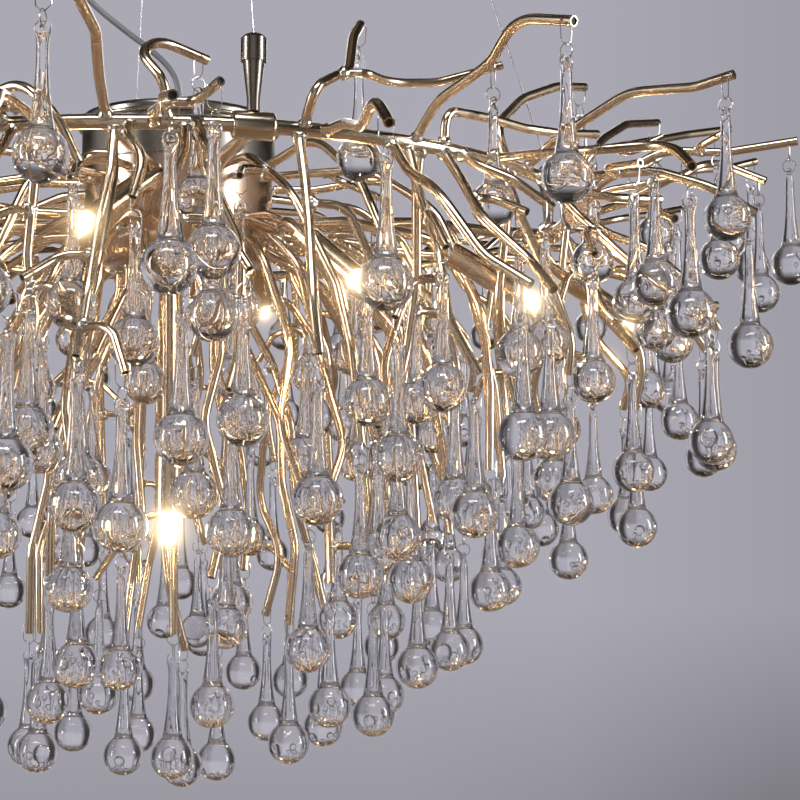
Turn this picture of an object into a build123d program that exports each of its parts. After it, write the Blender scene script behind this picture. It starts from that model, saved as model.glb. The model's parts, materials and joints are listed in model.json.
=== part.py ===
from build123d import *

import os
import random
from dataclasses import dataclass, field
from math import cos, degrees, pi, radians, sin, sqrt, tan

import numpy as np

# A branching crystal chandelier. Millimetres, +Z up. The origin is the centre of the ceiling plate's
# top face, so everything hangs below z = 0. Angles are degrees about Z from +X.

# ---------------------------------------------------------------- driving dimensions
gap = 0.3  # running and assembly clearance
flush = 0.2  # clearance between flat faces that are clamped together

# ceiling canopy and its fixing
canopy_radius = 250.0
canopy_height = 45.0
canopy_wall = 1.5
canopy_edge_radius = 8.0
plate_thickness = 3.0
plate_arm_length = 242.0
plate_arm_width = 30.0
ceiling_bolt_circle = 160.0  # diameter
ceiling_bolt_hole = 6.5
post_radius = 6.0
anchor_radius = 232.0  # of the circle on which the four wires leave the canopy
nipple_radius = 6.0
nipple_length = 14.0
nipple_shank_radius = 3.0
nipple_shank_length = 14.0

# suspension
wire_count = 4
wire_diameter = 1.2
wire_seat_depth = 8.0
ring_drop = 545.0  # ceiling to the ring's centre line
ring_radius = 380.0
ring_tube = 12.0
cup_rise = 72.0  # of the cup's top above the ring
cup_radius = 10.0
cup_body_length = 22.0
cup_taper_length = 30.0
cup_foot_radius = 5.0
knuckle_radius = 11.0
knuckle_length = 34.0
spoke_tube = 12.0

# mains cord
cord_diameter = 6.0
cord_heading = 171.5  # the side on which the cord bows out
gland_radius = 8.0
gland_height = 12.0
gland_shank_radius = 5.0
cord_seat_depth = 6.0

# hub
hub_radius = 93.0
hub_wall = 1.5
lid_rise = 93.0  # of the lid above the ring's centre line
lid_bead = 2.0
drum_bottom_rise = 46.0
lid_skirt = 11.0
partition_thickness = 3.0
housing_radius = 90.0
housing_dip = 55.0  # of the housing's bottom below the ring's centre line
housing_bowl_radius = 30.0
hub_post_circle = 70.0
hub_post_radius = 4.0
lid_screw_radius = 2.0

# lamps
arm_tube = 10.0
sleeve_radius = 11.0
sleeve_wall = 1.0
sleeve_length = 72.0
sleeve_back = 2.0
holder_start = 36.0
holder_length = 16.0
holder_radius = 9.0
base_width = 13.0
base_depth = 9.0
base_length = 12.0
base_seat = 6.0
pin_radius = 1.0
pin_spread = 8.0
pin_length = 5.0
bulb_radius = 6.5
bulb_length = 38.0

# branches
branch_tube = 8.0
twig_tube = 7.0
tube_wall = 1.0
tube_bore_depth = 5.0
hook_hole_inset = 8.0
hook_hole_radius = 1.1
largest_bend = 55.0
smallest_bend = 10.0
twig_room = 8.5  # of straight branch where a twig is brazed on
twig_stub = 20.0  # the least run of a twig square to its branch
most_twigs = 2
stem_circle = 56.0  # the widest circle on which a stem may stand under the hub
stem_straight = 24.0

# hooks, rings and glass drops
hook_wire = 1.0
hook_half_width = 6.0
hook_leg = 14.0
hook_point = 18.0  # depth of the hook's V below the cross hole
hook_end = 1.0
link_radius = 6.0
head_radius = 5.8  # of the drop's flared top, before it is pinched flat
head_crown = 4.0  # the glass above the middle of the eye
head_flat_radius = 3.8
eye_thickness = 3.4
eye_hole_radius = 1.6
eye_slack = 0.5  # above the link where it passes through the eye
pinch_length = 3.5  # how far the flat pinch runs below the eye
pinch_taper = 7.5
pinch_flare = 4.8
neck_start = 8.8  # below the eye
neck_top_radius = 4.2
neck_middle_radius = 5.0
neck_foot_radius = 8.9
ball_radius = 19.0
ball_drop = 85.0  # eye to the ball's centre
swing_angle = 12.0

# how close the pieces may come
branch_gap = 2.0
drop_gap = 1.5
seed = 20

os.makedirs("parts", exist_ok=True)

# ---------------------------------------------------------------- dimensions that follow
canopy_floor_z = -canopy_height + canopy_wall
post_top_z = -plate_thickness
ring_z = -ring_drop
lid_z = ring_z + lid_rise
drum_bottom_z = ring_z + drum_bottom_rise
housing_top_z = drum_bottom_z - partition_thickness
housing_bottom_z = ring_z - housing_dip
cup_top_z = ring_z + cup_rise
ring_surface = ring_tube / 2 + gap
housing_surface = housing_radius + gap
hook_slope = (hook_point - hook_leg) / hook_half_width
hook_saddle = -hook_point + hook_wire / 2 * (hook_slope + sqrt(1 + hook_slope**2))
link_centre = hook_saddle + gap + hook_wire / 2 - link_radius
link_bottom = link_centre - link_radius
eye_centre = link_bottom - (eye_hole_radius - hook_wire / 2 - eye_slack)
ball_centre = eye_centre - ball_drop


# ---------------------------------------------------------------- helpers
def polar(angle, radius, height):
    """The point at an angle, a radius and a height."""
    return Vector(radius * cos(radians(angle)), radius * sin(radians(angle)), height)


def bend_radii(points, largest=largest_bend):
    """The radius of each inner corner of a route: as large as its two runs allow, up to the largest."""
    radii = []
    for before, corner, after in zip(points, points[1:], points[2:]):
        run_in, run_out = corner - before, after - corner
        half_turn = radians(run_in.get_angle(run_out)) / 2
        radii.append(min(largest, 0.45 * min(run_in.length, run_out.length) / tan(half_turn)))
    return radii


def across(direction):
    """The level direction square to a tube's own."""
    flat = Vector(-direction.Y, direction.X, 0)
    return flat.normalized() if flat.length > 0.05 else Vector(1, 0, 0)


# ---------------------------------------------------------------- ceiling plate and canopy
with BuildPart() as ceiling_cross_plate:
    with BuildSketch(Plane.XY.offset(-plate_thickness)) as plate_outline:
        for turn in (0, 90):
            Rectangle(2 * plate_arm_length, plate_arm_width, rotation=turn)
        Circle(ceiling_bolt_circle / 2 + plate_arm_width / 2)
        fillet(plate_outline.vertices(), 3)
        with PolarLocations(ceiling_bolt_circle / 2, 4, start_angle=45):
            Circle(ceiling_bolt_hole / 2, mode=Mode.SUBTRACT)
    extrude(amount=plate_thickness)

with BuildPart() as canopy:
    with BuildSketch(Plane.XY.offset(-canopy_height)):
        Circle(canopy_radius)
    extrude(amount=canopy_height)
    fillet(canopy.edges().group_by(Axis.Z)[0], canopy_edge_radius)
    offset(amount=-canopy_wall, openings=canopy.faces().sort_by(Axis.Z)[-1])
    with BuildSketch(Plane.XY.offset(-canopy_height)):
        Circle(gland_shank_radius + gap)
        with PolarLocations(anchor_radius, wire_count):
            Circle(nipple_shank_radius + gap)
    extrude(amount=2 * canopy_wall, mode=Mode.SUBTRACT)

with BuildPart() as canopy_posts:
    with BuildSketch(Plane.XY.offset(post_top_z)):
        with PolarLocations(anchor_radius, wire_count):
            RegularPolygon(post_radius, 6)
            Circle(nipple_shank_radius + gap, mode=Mode.SUBTRACT)
    extrude(amount=canopy_floor_z + flush - post_top_z)

with BuildPart() as canopy_terminal_block:
    with BuildSketch(Plane.XY.offset(post_top_z)):
        Rectangle(34, 20)
    extrude(amount=-16)
    fillet(canopy_terminal_block.edges().filter_by(Axis.Z), 2)
    with Locations(Plane.XY.offset(post_top_z - 16)):
        with GridLocations(10, 0, 3, 1):
            Hole(1.8, depth=9)

# ---------------------------------------------------------------- wires, their anchors and cups
wire_top_z = -canopy_height - nipple_length
wire_run = Vector(ring_radius - anchor_radius, 0, cup_top_z - wire_top_z)
wire_slope = wire_run.normalized()
wire_start = Vector(anchor_radius, 0, wire_top_z) - wire_slope * wire_seat_depth
wire_end = Vector(ring_radius, 0, cup_top_z) + wire_slope * wire_seat_depth
wire_socket_radius = wire_diameter / 2 + gap


def wire_socket(end, direction):
    """A round socket for a wire's end, drilled along the wire from its bottom at end."""
    with BuildPart(mode=Mode.PRIVATE) as socket:
        with BuildSketch(Plane(origin=end, z_dir=direction)):
            Circle(wire_socket_radius)
        extrude(amount=2 * wire_seat_depth)
    return socket.part


with BuildPart() as one_nipple:
    with BuildSketch(Plane.XZ):
        with BuildLine():
            Polyline(
                (0, canopy_floor_z + nipple_shank_length),
                (nipple_shank_radius, canopy_floor_z + nipple_shank_length),
                (nipple_shank_radius, -canopy_height - flush),
                (nipple_radius, -canopy_height - flush),
                (nipple_radius, wire_top_z + 5),
                (nipple_radius - 2.5, wire_top_z),
                (0, wire_top_z),
                close=True,
            )
        make_face()
    revolve(axis=Axis.Z)
one_nipple = one_nipple.part.moved(Location((anchor_radius, 0, 0))) - wire_socket(wire_start, wire_slope)

with BuildPart() as wire_nipples:
    with PolarLocations(0, wire_count):
        add(one_nipple)

cup_foot_z = ring_z + knuckle_radius + gap
with BuildPart() as one_cup:
    with BuildSketch(Plane.XZ):
        with BuildLine():
            Line((0, cup_foot_z), (0, cup_top_z))
            ThreePointArc((0, cup_top_z), (0.72 * cup_radius, cup_top_z - 1.2), (cup_radius, cup_top_z - 4))
            Polyline(
                (cup_radius, cup_top_z - 4),
                (cup_radius, cup_top_z - cup_body_length),
                (cup_radius - 1.5, cup_top_z - cup_body_length),
                (cup_foot_radius, cup_top_z - cup_body_length - cup_taper_length),
                (cup_foot_radius, cup_foot_z),
                (0, cup_foot_z),
            )
        make_face()
    revolve(axis=Axis.Z)
one_cup = one_cup.part.moved(Location((ring_radius, 0, 0))) - wire_socket(wire_end, -wire_slope)

with BuildPart() as wire_cups:
    with PolarLocations(0, wire_count):
        add(one_cup)

suspension_wires = []
for turn in range(wire_count):
    with BuildPart() as wire:
        with BuildSketch(Plane(origin=wire_start, z_dir=wire_slope)):
            Circle(wire_diameter / 2)
        extrude(amount=(wire_end - wire_start).length)
    suspension_wires.append(wire.part.rotate(Axis.Z, turn * 360 / wire_count))

# ---------------------------------------------------------------- carrier ring, knuckles and spokes
with BuildPart() as carrier_ring:
    with BuildSketch(Plane.XZ):
        with Locations((ring_radius, ring_z)):
            Circle(ring_tube / 2)
    revolve(axis=Axis.Z)

with BuildPart() as ring_knuckles:
    with BuildSketch(Plane.XZ.offset(-knuckle_length / 2)):
        with Locations((ring_radius, ring_z)):
            Circle(knuckle_radius)
    extrude(amount=knuckle_length)
    fillet(ring_knuckles.edges().filter_by(GeomType.CIRCLE), 3)
    with BuildSketch(Plane.XZ):
        with Locations((ring_radius, ring_z)):
            Circle(ring_surface)
    revolve(axis=Axis.Z, mode=Mode.SUBTRACT)
one_knuckle = ring_knuckles.part

with BuildPart() as ring_knuckles:
    with PolarLocations(0, wire_count):
        add(one_knuckle)

spoke_rise = 6.0
spoke_route = [
    Vector(housing_surface, 0, ring_z - 4),
    Vector(housing_radius + 60, 0, ring_z - 4),
    Vector((housing_radius + ring_radius) / 2, 0, ring_z + spoke_rise),
    Vector(ring_radius - 60, 0, ring_z),
    Vector(ring_radius - knuckle_radius - gap, 0, ring_z),
]
with BuildPart() as one_spoke:
    with BuildLine():
        FilletPolyline(*spoke_route, radius=bend_radii(spoke_route, 300))
    with BuildSketch(Plane(origin=spoke_route[0], z_dir=(1, 0, 0))):
        Circle(spoke_tube / 2)
    sweep()
one_spoke = one_spoke.part

with BuildPart() as ring_spokes:
    with PolarLocations(0, wire_count):
        add(one_spoke)

# ---------------------------------------------------------------- hub
drum_top_z = lid_z - hub_wall - flush
hub_post_count, hub_post_turn = 3, 30

with BuildPart() as hub_lid:
    skirt_inside = hub_radius + gap
    skirt_outside = skirt_inside + hub_wall
    with BuildSketch(Plane.XZ):
        with BuildLine():
            Line((0, lid_z), (skirt_outside - 5, lid_z))
            ThreePointArc(
                (skirt_outside - 5, lid_z),
                (skirt_outside - 5 * (1 - sin(pi / 4)), lid_z - 5 * (1 - cos(pi / 4))),
                (skirt_outside, lid_z - 5),
            )
            Polyline(
                (skirt_outside, lid_z - 5),
                (skirt_outside, lid_z - lid_skirt),
                (skirt_inside, lid_z - lid_skirt),
                (skirt_inside, lid_z - hub_wall),
                (0, lid_z - hub_wall),
                (0, lid_z),
            )
        make_face()
        with Locations((skirt_inside + lid_bead, lid_z - lid_skirt + lid_bead / 2)):
            Circle(lid_bead)
    revolve(axis=Axis.Z)
    with Locations(Plane.XY.offset(lid_z)):
        Hole(gland_shank_radius + gap, depth=2 * hub_wall)
        with PolarLocations(hub_post_circle, hub_post_count, hub_post_turn):
            Hole(lid_screw_radius + gap, depth=2 * hub_wall)

with BuildPart() as hub_drum:
    with BuildSketch(Plane.XY.offset(drum_bottom_z)):
        Circle(hub_radius)
        Circle(hub_radius - hub_wall, mode=Mode.SUBTRACT)
    extrude(amount=drum_top_z - drum_bottom_z)

with BuildPart() as hub_partition:
    with BuildSketch(Plane.XY.offset(drum_bottom_z)):
        Circle(hub_radius)
        with PolarLocations(45, 4, start_angle=45):
            Circle(7, mode=Mode.SUBTRACT)
    extrude(amount=-partition_thickness)

with BuildPart() as hub_posts:
    with BuildSketch(Plane.XY.offset(drum_bottom_z)):
        with PolarLocations(hub_post_circle, hub_post_count, hub_post_turn):
            RegularPolygon(hub_post_radius, 6)
    extrude(amount=drum_top_z - drum_bottom_z)
    with Locations(Plane.XY.offset(drum_top_z)):
        with PolarLocations(hub_post_circle, hub_post_count, hub_post_turn):
            Hole(lid_screw_radius + gap, depth=12)

with BuildPart() as hub_lid_screws:
    with BuildSketch(Plane.XY.offset(lid_z)):
        with PolarLocations(hub_post_circle, hub_post_count, hub_post_turn):
            Circle(2 * lid_screw_radius)
    extrude(amount=2.4)
    fillet(hub_lid_screws.edges().group_by(Axis.Z)[-1], 1.4)
    with BuildSketch(Plane.XY.offset(lid_z)):
        with PolarLocations(hub_post_circle, hub_post_count, hub_post_turn):
            Circle(lid_screw_radius)
    extrude(amount=-10)

with BuildPart() as hub_terminal_block:
    with BuildSketch(Plane.XY.offset(drum_bottom_z)):
        Rectangle(44, 22)
    extrude(amount=17)
    fillet(hub_terminal_block.edges().filter_by(Axis.Z), 2)
    with Locations(Plane.XY.offset(drum_bottom_z + 17)):
        with GridLocations(10, 10, 4, 2):
            Hole(1.6, depth=6)

with BuildPart() as hub_housing:
    bowl_z = housing_bottom_z + housing_bowl_radius
    inner_bowl = housing_bowl_radius - hub_wall
    flat_radius = housing_radius - housing_bowl_radius
    diagonal = sin(pi / 4)
    with BuildSketch(Plane.XZ):
        with BuildLine():
            Line((0, housing_bottom_z), (flat_radius, housing_bottom_z))
            ThreePointArc(
                (flat_radius, housing_bottom_z),
                (flat_radius + diagonal * housing_bowl_radius, bowl_z - diagonal * housing_bowl_radius),
                (housing_radius, bowl_z),
            )
            Line((housing_radius, bowl_z), (housing_radius, housing_top_z))
            Line((housing_radius, housing_top_z), (housing_radius - hub_wall, housing_top_z))
            Line((housing_radius - hub_wall, housing_top_z), (housing_radius - hub_wall, bowl_z))
            ThreePointArc(
                (housing_radius - hub_wall, bowl_z),
                (flat_radius + diagonal * inner_bowl, bowl_z - diagonal * inner_bowl),
                (flat_radius, housing_bottom_z + hub_wall),
            )
            Line((flat_radius, housing_bottom_z + hub_wall), (0, housing_bottom_z + hub_wall))
            Line((0, housing_bottom_z + hub_wall), (0, housing_bottom_z))
        make_face()
    revolve(axis=Axis.Z)


# ---------------------------------------------------------------- mains cord and its glands
def make_gland(face_z, outward):
    """A cord gland on a level sheet: dome outside, shank inside, with a socket for the cord."""
    tip_z = face_z + outward * (gland_height + flush)
    with BuildPart(mode=Mode.PRIVATE) as gland:
        with BuildSketch(Plane.XY.offset(face_z + outward * flush)):
            RegularPolygon(gland_radius, 6)
        extrude(amount=outward * 4)
        with BuildSketch(Plane.XY.offset(face_z + outward * (4 + flush))):
            Circle(gland_radius - 1.5)
        with BuildSketch(Plane.XY.offset(tip_z)):
            Circle(cord_diameter / 2 + gap + 1.6)
        loft()
        with BuildSketch(Plane.XY.offset(face_z + outward * flush)):
            Circle(gland_shank_radius)
        extrude(amount=-outward * 10)
        with BuildSketch(Plane.XY.offset(tip_z)):
            Circle(cord_diameter / 2 + gap)
        extrude(amount=-outward * cord_seat_depth, mode=Mode.SUBTRACT)
    return gland.part


canopy_cord_gland = make_gland(-canopy_height, -1)
hub_cord_gland = make_gland(lid_z, 1)
cord_top_z = -canopy_height - gland_height - flush + cord_seat_depth
cord_bottom_z = lid_z + gland_height + flush - cord_seat_depth

# (distance along the cord's heading, sideways, share of the way from the hub up to the canopy)
cord_points = [
    (0, 0, 0),
    (0, 0, 0.068),
    (9, 1, 0.116),
    (29, 3, 0.161),
    (56, 4, 0.209),
    (88, 3, 0.275),
    (114, 0, 0.36),
    (128, -4, 0.463),
    (126, -7, 0.569),
    (111, -8, 0.664),
    (88, -6, 0.744),
    (58, -3, 0.802),
    (27, -1, 0.844),
    (6, 0, 0.887),
    (0, 0, 0.945),
    (0, 0, 1),
]
heading_x, heading_y = cos(radians(cord_heading)), sin(radians(cord_heading))
cord_rise = cord_top_z - cord_bottom_z
cord_route = [
    Vector(out * heading_x - side * heading_y, out * heading_y + side * heading_x, cord_bottom_z + share * cord_rise)
    for out, side, share in cord_points
]
cord_radii = bend_radii(cord_route, 1000)
with BuildPart() as power_cord:
    with BuildLine() as cord_line:
        FilletPolyline(*cord_route, radius=cord_radii)
    with BuildSketch(Plane(origin=cord_route[0], z_dir=cord_route[1] - cord_route[0])):
        Circle(cord_diameter / 2)
    sweep()
cord_length = sum(edge.length for edge in cord_line.edges())
print("cord radii", [round(r) for r in cord_radii], "length", round(cord_length))
print("cord volume", round(power_cord.part.volume), "of", round(pi * cord_diameter**2 / 4 * cord_length))


# ---------------------------------------------------------------- room for what is laid out by rule
def segment_gaps(starts, ends, other_starts, other_ends):
    """The distance between the centre lines of every pair of one group of runs and another."""
    first, second = (ends - starts)[:, None], (other_ends - other_starts)[None]
    between = starts[:, None] - other_starts[None]
    first_square, second_square = (first**2).sum(-1), (second**2).sum(-1)
    dot_first, dot_second = (first * between).sum(-1), (second * between).sum(-1)
    both = (first * second).sum(-1)
    spread = first_square * second_square - both**2
    along = np.where(spread > 1e-9, (both * dot_second - dot_first * second_square) / (spread + 1e-12), 0)
    along = np.clip(along, 0, 1)
    other_along = np.clip((both * along + dot_second) / second_square, 0, 1)
    along = np.clip((both * other_along - dot_first) / first_square, 0, 1)
    apart = between + first * along[..., None] - second * other_along[..., None]
    return np.sqrt((apart**2).sum(-1))


def as_rows(capsules):
    """Capsules (start, end, radius) as rows of seven numbers."""
    return np.array([[*tuple(a), *tuple(b), r] for a, b, r in capsules])


def least_gap(some, others):
    """The least surface distance between two lists of capsules."""
    if len(some) == 0 or len(others) == 0:
        return 1000.0
    one, other = as_rows(some), as_rows(others)
    apart = segment_gaps(one[:, :3], one[:, 3:6], other[:, :3], other[:, 3:6])
    return float((apart - one[:, 6][:, None] - other[:, 6][None]).min())


def rounded_corner(before, corner, after, radius):
    """The first, middle and last points of a rounded corner's arc."""
    back, ahead = (before - corner).normalized(), (after - corner).normalized()
    half_turn = (pi - radians(back.get_angle(ahead))) / 2
    cut = radius * tan(half_turn)
    inward = (back + ahead).normalized() * (radius / cos(half_turn) - radius)
    return [corner + back * cut, corner + inward, corner + ahead * cut]


def centre_line(points):
    """A route's runs with each rounded corner cut by three points of its arc."""
    line = [points[0]]
    for before, corner, after, radius in zip(points, points[1:], points[2:], bend_radii(points)):
        line += rounded_corner(before, corner, after, radius)
    return line + [points[-1]]


def straight_part(route, run):
    """The middle, the direction and the length of the straight part of one run of a route."""
    cuts = [0.0]
    for before, corner, after, radius in zip(route, route[1:], route[2:], bend_radii(route)):
        cuts.append(radius * tan(radians((corner - before).get_angle(after - corner)) / 2))
    cuts.append(0.0)
    ahead = (route[run + 1] - route[run]).normalized()
    first, last = cuts[run], (route[run + 1] - route[run]).length - cuts[run + 1]
    return route[run] + ahead * (first + last) / 2, ahead, last - first


def tube_capsules(points, radius):
    """A round tube along a route, as capsules."""
    line = centre_line(points)
    return [(a, b, radius) for a, b in zip(line, line[1:]) if (b - a).length > 0.01]


def drop_capsules(hole, swings=False):
    """A hook, ring and glass drop below a cross hole, as capsules; wider where they swing."""
    reach = sqrt(2) * tan(radians(swing_angle)) if swings else 0
    levels = [
        (-3, link_centre, hook_half_width + 1.5),
        (link_centre, eye_centre - 8, hook_half_width + 0.5),
        (eye_centre - 8, -ball_drop / 2 + eye_centre, neck_middle_radius + 1),
        (-ball_drop / 2 + eye_centre, ball_centre + ball_radius - 2, neck_foot_radius),
        (ball_centre - 0.1, ball_centre + 0.1, ball_radius),
    ]
    return [
        (hole + Vector(0, 0, top), hole + Vector(0, 0, low), radius - reach * low)
        for top, low, radius in levels
    ]


taken = []  # capsules of everything that is already placed
for turn in range(wire_count):
    angle = turn * 360 / wire_count
    centre, tangent, up = polar(angle, ring_radius, ring_z), polar(angle + 90, 1, 0), Vector(0, 0, 1)
    taken += [
        (a.rotate(Axis.Z, angle), b.rotate(Axis.Z, angle), radius)
        for a, b, radius in tube_capsules(spoke_route, spoke_tube / 2)
    ]
    taken.append((centre, centre + up * (cup_top_z - ring_z - cup_radius), cup_radius + 1))
    taken.append((centre - tangent * knuckle_radius, centre + tangent * knuckle_radius, knuckle_radius + 2))
    taken.append((wire_start.rotate(Axis.Z, angle), wire_end.rotate(Axis.Z, angle), wire_diameter))

ring_arcs = 72
ring_stops = [polar(360 * i / ring_arcs, ring_radius, ring_z) for i in range(ring_arcs + 1)]
ring_capsules = [(a, b, ring_tube / 2) for a, b in zip(ring_stops, ring_stops[1:])]

hub_skin = 19.0
hub_capsules = []
for angle in range(0, 360, 15):
    drum_spot = polar(angle, hub_radius + lid_bead - hub_skin, 0)
    bowl_spot = polar(angle, housing_radius - hub_skin, 0)
    hub_capsules += [
        (drum_spot + Vector(0, 0, lid_z - hub_skin), drum_spot + Vector(0, 0, drum_bottom_z), hub_skin),
        (bowl_spot + Vector(0, 0, drum_bottom_z), bowl_spot + Vector(0, 0, bowl_z), hub_skin),
        (bowl_spot * 0.85 + Vector(0, 0, bowl_z), bowl_spot * 0.6 + Vector(0, 0, bowl_z - 10), hub_skin),
    ]
hub_capsules.append((Vector(0, 0, housing_bottom_z + 40), Vector(0, 0, housing_bottom_z + 39), 40))


def fits(capsules, carrier, margin=branch_gap):
    """Whether capsules that start on a carrier keep their margin from everything else."""
    on_ring = carrier == "ring"
    if least_gap(capsules, taken + (hub_capsules if on_ring else ring_capsules)) < margin:
        return False
    return least_gap(capsules[1:], ring_capsules if on_ring else hub_capsules) >= margin


def beyond_ring(angle, out, up):
    """The point at an angle, a distance outside the ring and a height from it."""
    return polar(angle, ring_radius + out, ring_z + up)


def from_ring(angle, toward):
    """The start of a branch that stands on the ring and leaves it squarely toward a point."""
    centre = polar(angle, ring_radius, ring_z)
    tangent = polar(angle + 90, 1, 0)
    way = toward - centre
    way = (way - tangent * way.dot(tangent)).normalized()
    return centre + way * ring_surface


# ---------------------------------------------------------------- lamps
def below_ring(angle, radius, height):
    """The point at an angle, a radius and a height from the ring's centre."""
    return polar(angle, radius, ring_z + height)


@dataclass
class Lamp:
    """One lamp: where its bulb is, which way it points and where its arm leaves the hub."""

    bulb: Vector
    heading: float
    dip: float
    hub_angle: float
    hub_height: float
    by_way_of: tuple = ()

    @property
    def direction(self):
        """The way the bulb points."""
        return polar(self.heading, cos(radians(self.dip)), -sin(radians(self.dip)))

    @property
    def back(self):
        """The centre of the sleeve's closed end."""
        return self.bulb - self.direction * (bulb_start + bulb_length / 2)

    @property
    def place(self):
        """The location whose Z runs from the sleeve's back to its mouth."""
        return Location(Plane(origin=self.back, z_dir=self.direction))

    @property
    def route(self):
        """The arm's route from the hub into the back of the sleeve."""
        return [
            below_ring(self.hub_angle, housing_surface, self.hub_height),
            below_ring(self.hub_angle, housing_radius + 32, self.hub_height),
            *[below_ring(*stop) for stop in self.by_way_of],
            self.back - self.direction * 26,
            self.back + self.direction * (sleeve_back + 3),
        ]

    @property
    def capsules(self):
        """The arm, the sleeve and the bulb, as capsules."""
        mouth = self.back + self.direction * (sleeve_length - sleeve_radius)
        tip = self.back + self.direction * (bulb_start + bulb_length - bulb_radius)
        shell = (self.back + self.direction * (sleeve_radius - 5), mouth, sleeve_radius + 1)
        return [*tube_capsules(self.route, arm_tube / 2), shell, (mouth, tip, bulb_radius + 1)]


bulb_start = holder_start + holder_length - base_seat + base_length
down_lamp_dip = 301.0
lamps = [
    # those that look out between the drops
    Lamp(below_ring(-117, 245, -53), -150, 36, -112, -15),
    Lamp(below_ring(-67, 290, -100), -50, 38, -66, -23, [(-70, 190, -45)]),
    Lamp(below_ring(-43.5, 366, -105), -9, 30, -48, -21, [(-50, 200, -27)]),
    Lamp(below_ring(-13, 434, -97), 4, 30, -15, -21, [(-17, 240, -40)]),
    Lamp(below_ring(24, 330, -65), 30, 28, 18, -17, [(20, 190, -21)]),
    Lamp(below_ring(58, 230, -55), 75, 36, 50, -15),
    Lamp(below_ring(101, 330, -95), 92, 32, 104, -21, [(106, 190, -35)]),
    Lamp(below_ring(146, 270, -61), 140, 34, 142, -17),
    Lamp(below_ring(196, 390, -95), 186, 30, 195, -21, [(199, 220, -33)]),
    # those that hang straight down near the bottom
    Lamp(below_ring(-99.4, 330, -down_lamp_dip), -99, 86, -98, -21, [(-99, 235, -35), (-99.6, 318, -95)]),
    Lamp(below_ring(33, 300, -down_lamp_dip), 33, 86, 36, -21, [(38, 220, -41), (34, 290, -105)]),
    Lamp(below_ring(165, 300, -down_lamp_dip), 165, 86, 162, -21, [(163, 220, -39), (165, 290, -105)]),
]
for lamp in lamps:
    print("lamp", round(lamp.hub_angle), "clearance", round(least_gap(lamp.capsules, taken + ring_capsules), 1))
    taken += lamp.capsules


def sweep_tube(route, radius):
    """Sweep a round tube along a route into the part that is being built."""
    with BuildLine() as line:
        FilletPolyline(*route, radius=bend_radii(route))
    with BuildSketch(Plane(origin=route[0], z_dir=route[1] - route[0])) as section:
        Circle(radius)
    sweep(section.sketch, path=line.line)


lamp_arms = []
for lamp in lamps:
    with BuildPart() as lamp_arm:
        sweep_tube(lamp.route, arm_tube / 2)
    lamp_arms.append(lamp_arm.part.solid())
lamp_arms = Compound(lamp_arms)

with BuildPart() as one_sleeve:
    with BuildSketch():
        Circle(sleeve_radius)
    extrude(amount=sleeve_length)
    with BuildSketch(Plane.XY.offset(sleeve_back)):
        Circle(sleeve_radius - sleeve_wall)
    extrude(amount=sleeve_length, mode=Mode.SUBTRACT)
    with BuildSketch():
        Circle(arm_tube / 2 + gap)
    extrude(amount=sleeve_back, mode=Mode.SUBTRACT)

with BuildPart() as one_holder:
    with BuildSketch(Plane.XY.offset(holder_start)):
        Circle(holder_radius)
    extrude(amount=holder_length)
    with BuildSketch(Plane.XY.offset(holder_start)):
        Circle(sleeve_radius - sleeve_wall - gap)
    extrude(amount=4)
    with BuildSketch(Plane.XY.offset(holder_start + holder_length - base_seat)):
        Rectangle(base_width + 2 * gap, base_depth + 2 * gap)
    extrude(amount=base_seat, mode=Mode.SUBTRACT)
    with BuildSketch(Plane.XY.offset(holder_start + holder_length - base_seat)):
        with GridLocations(pin_spread, 0, 2, 1):
            Circle(pin_radius + gap)
    extrude(amount=-pin_length - 1, mode=Mode.SUBTRACT)

with BuildPart() as one_bulb_base:
    with BuildSketch(Plane.XY.offset(holder_start + holder_length - base_seat)):
        RectangleRounded(base_width, base_depth, 1.5)
    extrude(amount=base_length)
    with BuildSketch(Plane.XY.offset(holder_start + holder_length - base_seat)):
        with GridLocations(pin_spread, 0, 2, 1):
            Circle(pin_radius)
    extrude(amount=-pin_length)

with BuildPart() as one_bulb_glass:
    with BuildSketch(Plane.XY.offset(bulb_start)):
        Circle(bulb_radius)
    extrude(amount=bulb_length)
    fillet(one_bulb_glass.edges().sort_by(Axis.Z)[-1], bulb_radius - 0.5)


def at_each_lamp(master):
    """A copy of a lamp's piece at every lamp."""
    return Compound([master.part.solid().moved(lamp.place) for lamp in lamps])


lamp_sleeves, lamp_holders = at_each_lamp(one_sleeve), at_each_lamp(one_holder)
bulb_bases, bulb_glasses = at_each_lamp(one_bulb_base), at_each_lamp(one_bulb_glass)


# ---------------------------------------------------------------- branches, laid out by rule
@dataclass
class Tip:
    """The open end of a branch, where a drop hangs from a cross hole."""

    end: Vector
    direction: Vector
    tube: float
    swings: bool = False

    @property
    def hole(self):
        """The centre of the cross hole."""
        return self.end - self.direction * hook_hole_inset

    @property
    def across(self):
        """The cross hole's direction."""
        return across(self.direction)

    @property
    def place(self):
        """The location at the cross hole with X along it and Z up."""
        return Location(Plane(origin=self.hole, x_dir=self.across, z_dir=(0, 0, 1)))


def tip_of(route, tube, swings=False):
    """The tip of a tube along a route."""
    return Tip(route[-1], (route[-1] - route[-2]).normalized(), tube, swings)


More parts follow.
